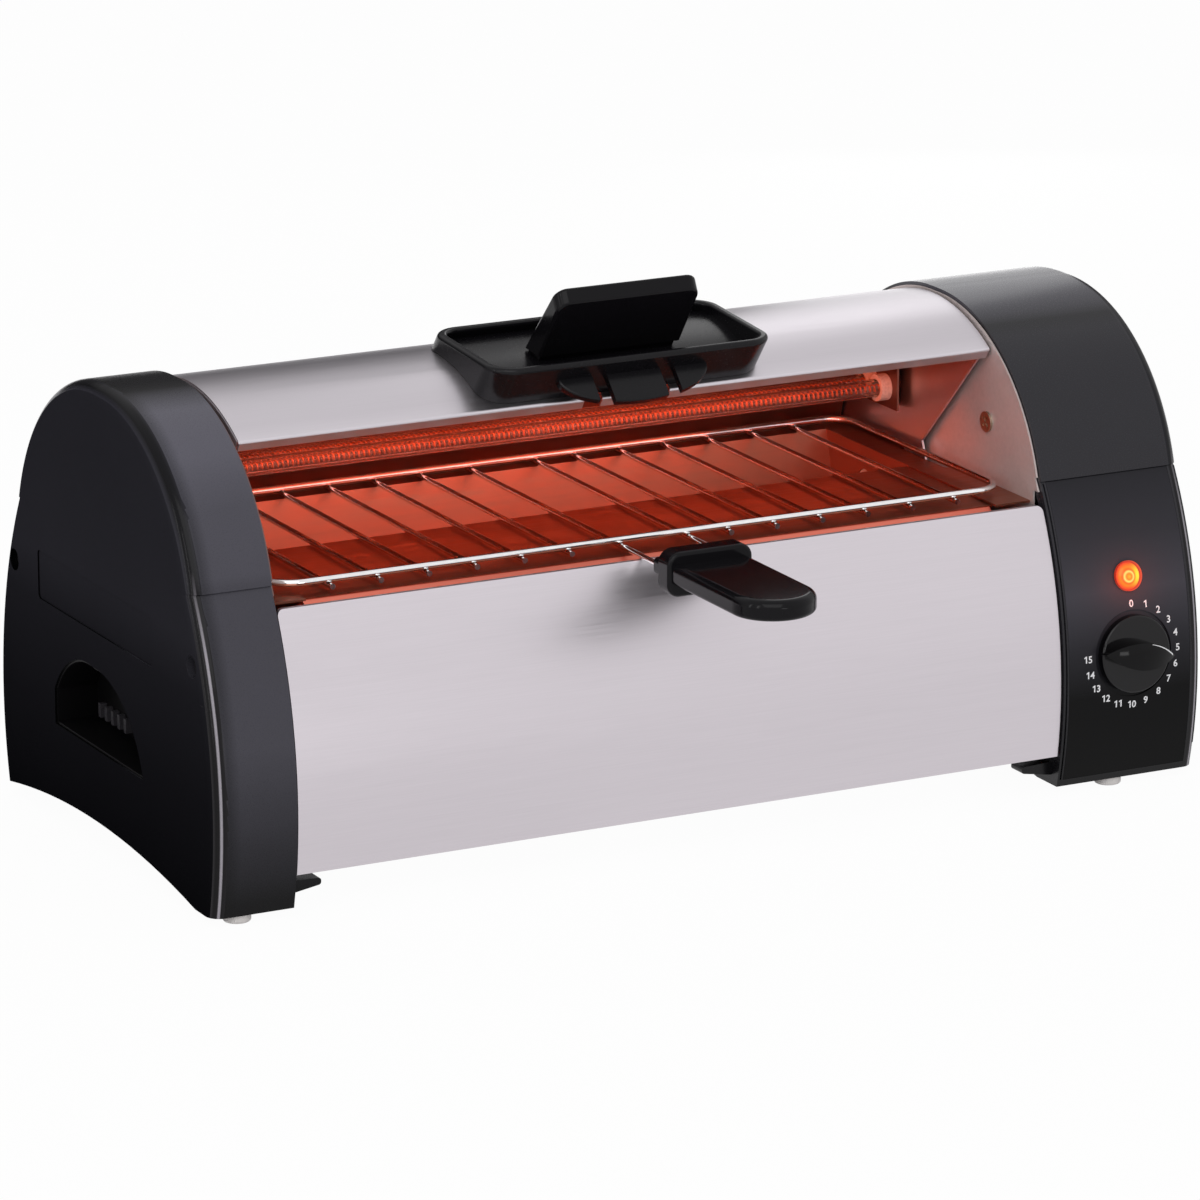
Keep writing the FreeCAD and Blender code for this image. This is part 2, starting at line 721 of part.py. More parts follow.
def lower_reflector():
    """Trough with a sloped lit lip in front, side ledges and a rear ledge for the rack."""
    trough = polygon_prism(trough_section(sheet), -trough_half - sheet, trough_half + sheet)
    trough = trough.cut(polygon_prism(trough_section(0.0), -trough_half, trough_half))
    lip = box(-lip_half, lip_half, -lip_length, 0, -sheet, 0)
    lip = lip.makeChamfer(2.5, [e for e in lip.Edges if straight_along(e, V(0, 0, 1))
                                and e.Vertexes[0].Point.y < -1])
    lip.rotate(V(0, 0, 0), V(1, 0, 0), lip_slope)
    lip.translate(V(0, -trough_front_y, lip_top_z))
    trough = trough.fuse(lip)
    ledge_low = ledge_top_z - sheet
    rear_reach = math.sqrt((rear_arc_radius - sheet) ** 2 - (cover_top_z - pivot_z) ** 2) - 0.4
    outer_x = wall_inner_x - 0.1
    for side in (-1, 1):
        x0, x1 = sorted((side * trough_half, side * outer_x))
        ledge = box(x0, x1, -ledge_front_y, rear_reach, ledge_low, ledge_top_z)
        s0, s1 = sorted((side * (plate_inner_x - 0.5), side * (outer_x + 1)))
        ledge = ledge.cut(box(s0, s1, -ledge_slot_half, ledge_slot_half, 0, 200))
        trough = trough.fuse(ledge)
    trough = trough.fuse(box(-trough_half, trough_half, trough_rear_y, rear_reach,
                             ledge_low, ledge_top_z))
    slot_top = trough_bottom_z + crumb_edge + 1.0
    trough = trough.cut(box(-crumb_half - crumb_slot_gap, crumb_half + crumb_slot_gap,
                            trough_bottom_rear_y - 0.5, trough_rear_y + 5, trough_bottom_z, slot_top))
    for y in lower_tube_y:
        trough = trough.cut(rod(V(-tunnel_half, y, lower_tube_z), V(tunnel_half, y, lower_tube_z),
                                tube_radius + holder_wall))
    return trough.removeSplitter()


def upper_reflector():
    """Curved shield behind the upper tubes, with a foot on the rear ledge and end tabs."""
    foot_z = ledge_top_z + 0.05
    end = math.degrees(math.acos((foot_z + sheet - pivot_z) / reflector_radius))
    shield = arc_band(reflector_radius, sheet, rear_arc_start, end, -fixed_half, fixed_half)
    foot_y = math.sqrt(reflector_radius ** 2 - (foot_z - pivot_z) ** 2)
    shield = shield.fuse(box(-fixed_half, fixed_half, foot_y - sheet, foot_y + reflector_foot - 2,
                             foot_z, foot_z + sheet))
    rise = rear_arc_radius - sheet - 0.1 - (reflector_radius - sheet)
    shield = shield.fuse(radial_strip(rear_arc_radius - sheet - 0.1, rise, rear_arc_start, sheet,
                                      -fixed_half, fixed_half))
    for side in (-1, 1):
        x0, x1 = sorted((side * tab_inner_x, side * (tab_inner_x + tab_thickness)))
        tab = box(x0, x1, upper_tube_y[0] - 9, upper_tube_y[-1] + 9, upper_tube_z - 8, 170)
        inside = arc_band(reflector_radius - sheet / 2, reflector_radius - sheet / 2 - 10,
                          -60, 89, x0, x1)
        shield = shield.fuse(tab.common(inside))
    for y in upper_tube_y:
        shield = shield.cut(rod(V(-tunnel_half, y, upper_tube_z), V(tunnel_half, y, upper_tube_z),
                                coil_radius + 0.5))
    return shield.removeSplitter()


def tube_row(places, z, end_x, radius, bore=0.0):
    """One rod, or one tube, along X at each place."""
    solids = []
    for y in places:
        piece = rod(V(-end_x, y, z), V(end_x, y, z), radius)
        if bore:
            piece = piece.cut(rod(V(-end_x - 1, y, z), V(end_x + 1, y, z), bore))
        solids.append(piece)
    return solids


def upper_tube_end_x():
    return tab_inner_x - 1.0


def lower_tube_end_x():
    return trough_half + sheet + holder_length - 1.0


def tube_holders(places, z, seat_x, tube_end_x, gap):
    """Ceramic ends: each has a seat for the tube and a small hole for the coil's tail."""
    holders = []
    for side in (-1, 1):
        for y in places:
            inner = rod(V(side * (seat_x - holder_length), y, z), V(side * seat_x, y, z),
                        tube_radius + holder_wall - gap)
            seat = rod(V(side * (seat_x - holder_length - 1), y, z), V(side * (tube_end_x + 0.1), y, z),
                       tube_radius + holder_fit)
            tail = rod(V(side * (seat_x - 3), y, z), V(side * (seat_x + 1), y, z), coil_radius + 0.1)
            holders.append(inner.cut(seat).cut(tail))
    return holders


def hood_sheet():
    """Curved stainless visor with a folded hem; two notches pass the rack's handle wires."""
    left_x = hood_shift - hood_half
    right_x = hood_shift + hood_half
    skin = arc_band(hood_radius, sheet, -hood_front_angle, hood_rear_angle, left_x, right_x)
    hem = radial_strip(hood_radius - 0.01, hood_hem, -hood_front_angle, sheet, left_x + 0.4,
                       right_x - 0.4)
    skin = skin.fuse(hem).removeSplitter()
    edge_y, edge_z = polar(hood_radius, -hood_front_angle)
    skin = fillet(skin, hood_corner_radius, lambda edge, p: straight_along(edge, V(1, 0, 0))
                  and abs(p.y - edge_y) < 0.05 and abs(p.z - edge_z) < 0.05)
    for x in handle_wire_places():
        notch = box(x - notch_width / 2, x + notch_width / 2, -1, notch_height, hood_radius - 8,
                    hood_radius + 3)
        notch.rotate(V(0, 0, 0), V(1, 0, 0), hood_front_angle)
        notch.translate(V(0, 0, pivot_z))
        skin = skin.cut(notch)
    return skin


def handle_wire_places():
    return [front_parts_x - handle_wire_x, front_parts_x + handle_wire_x]


def hood_end_plate():
    """Right sector plate: it closes the chamber's end and carries the pivot lug."""
    radius = hood_radius - sheet - 0.05
    front = hood_front_angle
    plate = arc_band(radius, radius - 0.5, -front + 0.9, hood_rear_angle, plate_inner_x, plate_outer_x)
    plate = plate.fuse(arc_band(radius, sheet, -front + 1.2, hood_rear_angle - 1.2,
                                plate_outer_x - hood_plate_rim, plate_outer_x))
    reach = 2 * hood_radius
    cutter = box(plate_inner_x - 10, plate_outer_x + 1, -reach, reach, -reach, hood_plate_low)
    front_cut = cutter.copy()
    front_cut.rotate(V(0, 0, 0), V(1, 0, 0), -hood_close_angle)
    for cut in (cutter, front_cut):
        cut.translate(V(0, 0, pivot_z))
    plate = plate.cut(cutter).cut(front_cut)
    neck = box(plate_inner_x, plate_outer_x, -lug_neck / 2, lug_neck / 2, 0, hood_plate_low + 14)
    neck.rotate(V(0, 0, 0), V(1, 0, 0), -hood_close_angle / 2)
    neck.translate(V(0, 0, pivot_z))
    lug = rod(V(plate_inner_x, 0, pivot_z), V(plate_outer_x, 0, pivot_z), lug_radius)
    plate = plate.fuse(neck).fuse(lug)
    bore = rod(V(plate_inner_x - 1, 0, pivot_z), V(plate_outer_x + 1, 0, pivot_z),
               pin_radius + pin_fit)
    return plate.cut(bore).removeSplitter()


def hood_pivot_pins():
    """Shoulder pins: head inside the chamber, shank through the lug, spacer and wall."""
    head_x = plate_inner_x - 0.1
    pin = rod(V(head_x - pin_head, 0, pivot_z), V(head_x, 0, pivot_z), pin_head_radius)
    pin = pin.fuse(rod(V(head_x, 0, pivot_z), V(wall_outer_x + pin_tail, 0, pivot_z), pin_radius))
    return [pin, mirrored_x(pin)]


def pivot_spacers():
    ring = rod(V(plate_outer_x + spacer_gap, 0, pivot_z), V(wall_inner_x, 0, pivot_z), spacer_radius)
    ring = ring.cut(rod(V(plate_outer_x, 0, pivot_z), V(tunnel_half, 0, pivot_z),
                        pin_radius + pin_fit))
    return [ring, mirrored_x(ring)]


def pivot_nuts():
    nut = rod(V(wall_outer_x, 0, pivot_z), V(wall_outer_x + pin_tail - 0.4, 0, pivot_z), 4.6)
    nut = nut.cut(rod(V(wall_outer_x - 1, 0, pivot_z), V(wall_outer_x + 9, 0, pivot_z),
                      pin_radius + 0.02))
    return [nut, mirrored_x(nut)]


def hood_stop_pads():
    """Small pads on the rear shoulder that the open hood's edge comes down to."""
    inner_y = math.sqrt((hood_radius - sheet) ** 2 - (cover_top_z - pivot_z) ** 2) - 0.6
    outer_y = flank_y(cover_top_z, cover_inset) - 0.4
    top = cover_top_z + hood_rest_gap - running_gap
    pads = []
    for x in (stop_pad_inset - hood_half, hood_half - stop_pad_inset):
        pads.append(box(x - stop_pad_half, x + stop_pad_half, inner_y, outer_y, cover_top_z, top))
    return pads


def tray_front():
    """Middle of the tray's front rim, ahead of the hood's top."""
    return V(0, *polar(hood_radius + tray_front_rise, -tray_front_angle))


def tray_frame():
    """Placement in the rim's plane: X along the tray, Y back along the rim."""
    tilt = math.radians(tray_tilt)
    centre = tray_front() + V(0, math.cos(tilt), math.sin(tilt)) * (tray_depth / 2)
    return FreeCAD.Placement(centre, FreeCAD.Rotation(V(1, 0, 0), tray_tilt))


def tray_down():
    lean = math.radians(tray_lean)
    return V(0, math.sin(lean), -math.cos(lean))


def swept_rectangle(half_x, half_y, corner, length):
    """Rounded rectangle in the rim's plane, swept down along the lean."""
    face = placed(rounded_rectangle(half_x, half_y, corner), tray_frame())
    return face.extrude(tray_down() * length)


def hood_tray():
    """Gloss tray swept down onto the hood along its lean; its dish follows the hood's curve."""
    body = swept_rectangle(tray_half, tray_depth / 2, tray_corner, tray_wall_reach)
    dish = swept_rectangle(tray_half - tray_rim, tray_depth / 2 - tray_rim, tray_corner - tray_rim,
                           tray_wall_reach)
    floor = rod(V(-tray_half, 0, pivot_z), V(tray_half, 0, pivot_z),
                hood_radius + tray_seat_gap + tray_floor)
    seat = rod(V(-tray_half - 5, 0, pivot_z), V(tray_half + 5, 0, pivot_z), hood_radius + tray_seat_gap)
    body = body.cut(dish.cut(floor))
    body = round_tray_rim(body)
    body = body.fuse(tongue_plate()).cut(seat)
    for x in (-tray_screw_x, tray_screw_x):
        hole = rod(V(x, *polar(hood_radius - 1, -tray_screw_angle)),
                   V(x, *polar(hood_radius + 2.6, -tray_screw_angle)), 1.55)
        body = body.cut(hole)
    body = max(body.Solids, key=lambda solid: solid.Volume)
    body.translate(V(front_parts_x, 0, 0))
    return body


def round_tray_rim(body):
    """Round the rim's outer and inner edges; both lie in the rim's plane."""
    frame = tray_frame()
    up = frame.Rotation.multVec(V(0, 0, 1))
    outer = []
    inner = []
    for edge in body.Edges:
        p = edge.valueAt(middle(edge)).sub(frame.Base)
        if all(abs(v.Point.sub(frame.Base).dot(up)) < 1e-4 for v in edge.Vertexes) and abs(p.dot(up)) < 1e-4:
            rim_x = abs(p.x) / tray_half
            rim_y = abs(frame.Rotation.inverted().multVec(p).y) / (tray_depth / 2)
            near_edge = max(rim_x, rim_y) > 0.99 or rim_x + rim_y > 1.86
            (outer if near_edge else inner).append(edge)
    body = body.makeFillet(tray_rim_outer_round, outer)
    return fillet(body, tray_rim_inner_round, lambda edge, p: any(p.sub(e.valueAt(middle(e))).Length < 0.01
                                                                  for e in inner))


def tongue_plate():
    """Half-moon plate in front of the tray, over the hem, slotted for the handle wires."""
    back = 3.0
    rim = Part.Wire([Part.Ellipse(V(0, 0, 0), tongue_half, tongue_reach).toShape()])
    disc = Part.Face(rim).extrude(V(0, 0, -tongue_thick))
    disc = fillet(disc, 0.8, lambda edge, p: len(edge.Vertexes) < 2 and abs(p.z) < 1e-6)
    plate = disc.common(box(-tongue_half - 1, tongue_half + 1, -tongue_reach - 1, 0, -tongue_thick, 0))
    root = tongue_half - 1.5
    plate = plate.fuse(box(-root, root, -0.01, back, -tongue_thick, 0))
    for side in (-1, 1):
        x = side * handle_wire_x
        plate = plate.cut(box(x - slot_width / 2, x + slot_width / 2, -tongue_reach - 1, 0.4,
                              -tongue_thick - 1, 1))
    plate.rotate(V(0, 0, 0), V(1, 0, 0), tongue_slope)
    plate.translate(tray_front() + tray_down() * tongue_drop)
    return plate


def tray_screw_places():
    return [front_parts_x - tray_screw_x, front_parts_x + tray_screw_x]


def tray_screws():
    screws = []
    for x in tray_screw_places():
        angle = -tray_screw_angle
        head = rod(V(x, *polar(hood_radius - sheet - 1.6, angle)),
                   V(x, *polar(hood_radius - sheet - 0.12, angle)), 3.0)
        shank = rod(V(x, *polar(hood_radius - sheet - 1.0, angle)),
                    V(x, *polar(hood_radius + 2.4, angle)), 1.5)
        screws.append(head.fuse(shank))
    return screws


def grip_plate():
    """Leaning thumb plate, thicker at its foot, on a short neck that stands in the dish."""
    plate = polygon_prism(grip_section, -grip_half, grip_half)
    high = grip_section[3][1] - 1
    plate = fillet(plate, grip_corner, lambda edge, p: p.z > high and abs(p.x) > grip_half - 0.01)
    plate = fillet(plate, grip_edge, lambda edge, p: p.z > 2 and edge.Length > 3
                   and not (straight_along(edge, V(0, 2.9, 5.9))))
    inset = grip_neck_inset
    (ay, az), (by, bz) = grip_section[0], grip_section[1]
    neck = polygon_prism([(ay + inset, az + 0.3), (by - inset, bz + 0.3), (by - inset + 9, bz - 12),
                          (ay + inset + 9, az - 12)], -grip_half + inset, grip_half - inset)
    plate = plate.fuse(neck)
    plate.translate(V(front_parts_x, *polar(hood_radius + grip_foot_rise, -grip_foot_angle)))
    floor = rod(V(-tray_half, 0, pivot_z), V(tray_half, 0, pivot_z),
                hood_radius + tray_seat_gap + tray_floor + 0.02)
    return plate.cut(floor)


def rack_frame():
    """Closed loop of wire with rounded corners, swept as straight rods and quarter rings."""
    z = frame_wire_z
    radius = frame_wire / 2
    x_mid = rack_half - radius
    y_front = -rack_front_y
    y_rear = rack_rear_y
    bend = rack_corner
    points = []
    for x, y, dx, dy in ((x_mid, y_front, -1, 1), (x_mid, y_rear, -1, -1),
                         (-x_mid, y_rear, 1, -1), (-x_mid, y_front, 1, 1)):
        points.append((V(x, y, z), V(x + dx * bend, y + dy * bend, z)))
    edges = []
    for index, (corner, centre) in enumerate(points):
        along_y = V(corner.x, centre.y, z)
        along_x = V(centre.x, corner.y, z)
        out = corner.sub(centre).normalize() * bend
        first, last = (along_x, along_y) if index % 2 == 0 else (along_y, along_x)
        edges.append(arc(first, centre + out, last))
        next_corner, next_centre = points[(index + 1) % 4]
        if index % 2 == 0:
            following = V(next_corner.x, next_centre.y, z)
        else:
            following = V(next_centre.x, next_corner.y, z)
        edges.append(line(last, following))
    path = Part.Wire(edges)
    start = edges[1].valueAt(edges[1].FirstParameter)
    section = Part.Wire([Part.makeCircle(radius, start, V(0, 1, 0))])
    path = Part.Wire(edges[1:] + edges[:1])
    return path.makePipeShell([section], True, True)


def cross_wires():
    """Wires under the frame; the middle two run on to the handle."""
    rear = rack_rear_y + cross_over + 1.0
    wires = []
    for side in (-1, 1):
        for index in range(cross_per_side):
            x = side * (cross_first_x + index * cross_pitch)
            wires.append(rod(V(x, -rack_front_y - cross_over, cross_wire_z),
                             V(x, rear, cross_wire_z), cross_wire / 2))
    for x in handle_wire_places():
        wires.append(rod(V(x, -handle_wire_end_y, cross_wire_z), V(x, rear, cross_wire_z),
                         cross_wire / 2))
    return wires


def rack_handle():
    """Collar with two wire bosses, and a flat paddle with a round end."""
    front_y = -collar_back_y - collar_thick
    collar = box(-collar_half, collar_half, front_y, -collar_back_y, collar_low_z, collar_top_z)
    collar = fillet(collar, collar_corner, lambda edge, p: straight_along(edge, V(0, 1, 0)))
    collar = fillet(collar, 1.5, lambda edge, p: abs(p.y - front_y) < 1e-6)
    end_y = -paddle_tip_y + paddle_half
    low = paddle_low_z
    paddle = box(-paddle_half, paddle_half, end_y, front_y + 1, low, low + paddle_thick)
    paddle = paddle.fuse(Part.makeCylinder(paddle_half, paddle_thick, V(0, end_y, low)))
    paddle = paddle.removeSplitter()
    paddle = fillet(paddle, 3.0, lambda edge, p: abs(p.z - low - paddle_thick) < 1e-6 and p.y < front_y)
    paddle = fillet(paddle, 2.0, lambda edge, p: abs(p.z - low) < 1e-6 and p.y < front_y)
    handle = collar.fuse(paddle)
    for side in (-1, 1):
        x = side * handle_wire_x
        boss = box(x - boss_radius, x + boss_radius, -collar_back_y - 0.01,
                   -collar_back_y + boss_length, cross_wire_z - boss_radius - boss_tall / 2,
                   cross_wire_z + boss_radius + boss_tall / 2)
        boss = fillet(boss, 1.8, lambda edge, p: straight_along(edge, V(0, 1, 0)))
        handle = handle.fuse(boss)
        handle = handle.cut(rod(V(x, -handle_wire_end_y - 0.5, cross_wire_z), V(x, -70, cross_wire_z),
                                cross_wire / 2 + 0.05))
    handle = handle.removeSplitter()
    handle.translate(V(front_parts_x, 0, 0))
    return handle


def crumb_tray():
    """Shallow sheet tray on the trough's floor that draws out at the back."""
    low = trough_bottom_z + 0.1
    end_y = crumb_rear_y - sheet
    tray = box(-crumb_half, crumb_half, -crumb_front_y, end_y, low, low + sheet)
    tray = tray.fuse(box(-crumb_half, crumb_half, -crumb_front_y, -crumb_front_y + sheet,
                         low, low + crumb_edge))
    for side in (-1, 1):
        x0, x1 = sorted((side * crumb_half, side * (crumb_half - sheet)))
        tray = tray.fuse(box(x0, x1, -crumb_front_y, end_y, low, low + crumb_edge))
    return tray.removeSplitter()


def crumb_tray_grip():
    """Black strip on the crumb tray's rear edge, with a finger lip."""
    low = trough_bottom_z + 0.1 + sheet / 2 - crumb_grip_tall / 2
    y0 = crumb_rear_y - sheet + 0.02
    grip = box(-crumb_grip_half, crumb_grip_half, y0, y0 + crumb_grip_deep, low, low + crumb_grip_tall)
    return fillet(grip, 1.4, lambda edge, p: abs(p.y - y0 - crumb_grip_deep) < 1e-6)


def knob_placement():
    """The dial's placement, turned clockwise from zero to the minutes that it shows."""
    turn = FreeCAD.Placement(V(0, 0, 0), FreeCAD.Rotation(V(0, 0, 1),
                             -knob_rest_minutes * degrees_per_minute))
    return panel_place(dial_x, dial_z).multiply(turn)


def timer_knob():
    """Round disc in its dish with a lens-shaped grip bar; local Y points at the mark."""
    low = -dish_depth + knob_lift
    disc = Part.makeCylinder(knob_radius, knob_disc, V(0, 0, low))
    disc = fillet(disc, 0.8, lambda edge, p: abs(p.z - low - knob_disc) < 1e-6)
    half = grip_bar_wide / 2
    curve = (grip_bar_half ** 2 + half ** 2) / (2 * half)
    top = low + knob_disc + grip_bar_tall
    lens = Part.makeCylinder(curve, top - low - 0.5, V(curve - half, 0, low + 0.5))
    lens = lens.common(Part.makeCylinder(curve, top - low - 0.5, V(half - curve, 0, low + 0.5)))
    lens = lens.common(Part.makeSphere(30.0, V(0, 0, top - 30.0)))
    knob = disc.fuse(lens)
    bore = Part.makeCylinder(shaft_radius + 0.02, knob_disc + 4 + 1, V(0, 0, low - 1))
    return placed(knob.cut(bore), knob_placement())


def timer_shaft():
    low = -dish_depth - dish_floor - 8.0
    top = -dish_depth + knob_lift + knob_disc + 3.8
    return placed(Part.makeCylinder(shaft_radius, top - low, V(0, 0, low)), knob_placement())


def timer_body():
    """Clockwork case behind the panel, bored for the shaft."""
    face = -dish_depth - dish_floor - 0.1
    case = box(-timer_width / 2, timer_width / 2, -timer_tall / 2, timer_tall / 2,
               face - timer_deep, face)
    case = fillet(case, 2.0, lambda edge, p: straight_along(edge, V(0, 0, 1)))
    hole = Part.makeCylinder(shaft_radius + shaft_fit, 9.0, V(0, 0, face - 8.5))
    return placed(case.cut(hole), panel_place(dial_x, dial_z))


def timer_bell():
    face = -dish_depth - dish_floor - 0.1 - timer_deep
    bell = Part.makeCylinder(bell_radius, bell_deep, V(0, 0, face - bell_deep - 0.02))
    bell = fillet(bell, 3.0, lambda edge, p: p.z < face - bell_deep + 0.1)
    return placed(bell, panel_place(dial_x, dial_z))


def lamp_lens():
    """Domed lens with a collar, pushed into the panel."""
    lens = Part.makeCylinder(lamp_radius, 1.2, V(0, 0, 0.15))
    lens = lens.fuse(Part.makeCylinder(lamp_hole_radius - 0.05, 6.0, V(0, 0, -5.8)))
    dome = Part.makeSphere(9.0, V(0, 0, 2.6 - 9.0))
    dome = dome.common(Part.makeCylinder(lamp_radius - 0.8, 3.0, V(0, 0, 0.5)))
    lens = lens.fuse(dome)
    bore = Part.makeCylinder(2.8, 6.4, V(0, 0, -6.0))
    return placed(lens.cut(bore), panel_place(lamp_x, lamp_z))


def lamp_bulb():
    bulb = Part.makeCylinder(2.2, 5.5, V(0, 0, -8.5))
    bulb = bulb.fuse(Part.makeSphere(2.2, V(0, 0, -3.0)))
    return placed(bulb, panel_place(lamp_x, lamp_z))


def lamp_socket():
    socket = Part.makeCylinder(lamp_hole_radius + 1.2, lamp_deep, V(0, 0, -lamp_deep - 3.0))
    bore = Part.makeCylinder(lamp_hole_radius + 0.05, 3.2, V(0, 0, -6.0))
    pocket = Part.makeCylinder(2.3, 3.2, V(0, 0, -9.0))
    return placed(socket.cut(bore).cut(pocket), panel_place(lamp_x, lamp_z))


def heat_shield():
    """Sheet between the hot wall and the timer, with feet that stand on the wall."""
    plate_x = wall_outer_x + shield_stand_off
    half = hood_radius - shield_inside_hood
    top = pivot_z + shield_rise
    shield = box(plate_x, plate_x + sheet, -half, half, shield_low_z, top)
    for side in (-1, 1):
        y0, y1 = sorted((side * half, side * (half - sheet)))
        shield = shield.fuse(box(wall_outer_x + 0.05, plate_x + 0.1, y0, y1,
                                 shield_low_z + 18.0, top - 10.0))
    return shield


def terminal_block():
    start_x = tunnel_half + terminal_from_tunnel
    block = box(start_x, start_x + 3 * terminal_pitch, terminal_y - terminal_half_y,
                terminal_y + terminal_half_y, cap_arch_rise + cap_wall + 0.05, terminal_top_z)
    for index in range(3):
        x = start_x + (index + 0.5) * terminal_pitch
        block = block.cut(rod(V(x, terminal_y, terminal_top_z + 1),
                              V(x, terminal_y, terminal_top_z - 7), 2.4))
    return block


def thermal_cutout():
    """Snap disc under the trough's floor."""
    low = trough_bottom_z - sheet - 0.02 - cutout_tall
    body = Part.makeCylinder(cutout_radius, cutout_tall, V(trough_half - cutout_inset, 0, low))
    return fillet(body, 1.0, lambda edge, p: p.z < low + 0.01)


def cord_inlet():
    """Bush in the rear of the right cap where a mains lead would enter."""
    face_y = flank_y(inlet_z) - 0.3
    bush = rod(V(inlet_x, face_y - 6.5, inlet_z), V(inlet_x, face_y, inlet_z), inlet_radius - 1.6)
    bush = bush.fuse(rod(V(inlet_x, face_y - 1.4, inlet_z), V(inlet_x, face_y, inlet_z), inlet_radius))
    return bush.cut(rod(V(inlet_x, face_y - 8, inlet_z), V(inlet_x, face_y + 1, inlet_z),
                        inlet_hole_radius))


def screw(start, way, head_radius, head_tall, radius, length, cross=True):
    """Pan-head screw: start is under the head, way points along the shank."""
    way = way.normalize()
    head = Part.makeCylinder(head_radius, head_tall, start - way * head_tall, way)
    if cross:
        deep = head_tall * 0.5
        for turn in (0, 90):
            bar = box(-head_radius * 0.6, head_radius * 0.6, -0.45, 0.45, 0, deep)
            bar.rotate(V(0, 0, 0), V(0, 0, 1), turn + 45)
            bar.Placement = FreeCAD.Placement(start - way * head_tall,
                                              FreeCAD.Rotation(V(0, 0, 1), way)).multiply(bar.Placement)
            head = head.cut(bar)
    return head.fuse(Part.makeCylinder(radius, length, start, way))


def cap_screws():
    screws = []
    for side, outer_x in ((-1, left_cap_outer_x), (1, right_cap_outer_x)):
        seat_x = outer_x - side * (screw_recess_depth + 0.02)
        length = abs(seat_x) - wall_inner_x + 1.0
        for y in (-cap_screw_y, cap_screw_y):
            screws.append(screw(V(seat_x + side * 0.04, y, cap_screw_z), V(-side, 0, 0), 3.8, 2.2,
                                cap_screw_radius, length))
    return screws


def wall_screws():
    screws = []
    for side in (-1, 1):
        for y, z in wall_screw_places():
            screws.append(screw(V(side * (wall_inner_x - 0.02), y, z), V(side, 0, 0), 4.0, 0.9,
                                cap_screw_radius, 3.6))
    return screws


def base_screws():
    screws = []
    for x, y in base_screw_places():
        low = tongue_low_z
        screws.append(screw(V(x, y, low - 0.02), V(0, 0, 1), 3.6, 1.8, cap_screw_radius, 7.0))
    return screws


def timer_screws():
    """Two small screws in the dish, hidden by the knob."""
    place = panel_place(dial_x, dial_z)
    screws = []
    for side in (-1, 1):
        start = V(side * timer_screw_x, 0, -dish_depth + 0.02)
        screws.append(placed(screw(start, V(0, 0, -1), 2.0, 0.3, 1.2, 5.0, cross=False), place))
    return screws


def foot_positions():
    left = [(-foot_x(tunnel_half, -left_cap_outer_x, y), y) for y in (-foot_y, foot_y)]
    return left + [(foot_x(tunnel_half, right_cap_outer_x, y), y) for y in (-foot_y, foot_y)]


def feet():
    result = []
    for x, y in foot_positions():
        foot = Part.makeCylinder(foot_radius, foot_height + foot_sink, V(x, y, -foot_height))
        foot = fillet(foot, 1.0, lambda edge, p: p.z < -foot_height + 0.01)
        result.append(foot.fuse(Part.makeCylinder(foot_peg_radius, foot_peg, V(x, y, 0))))
    return result


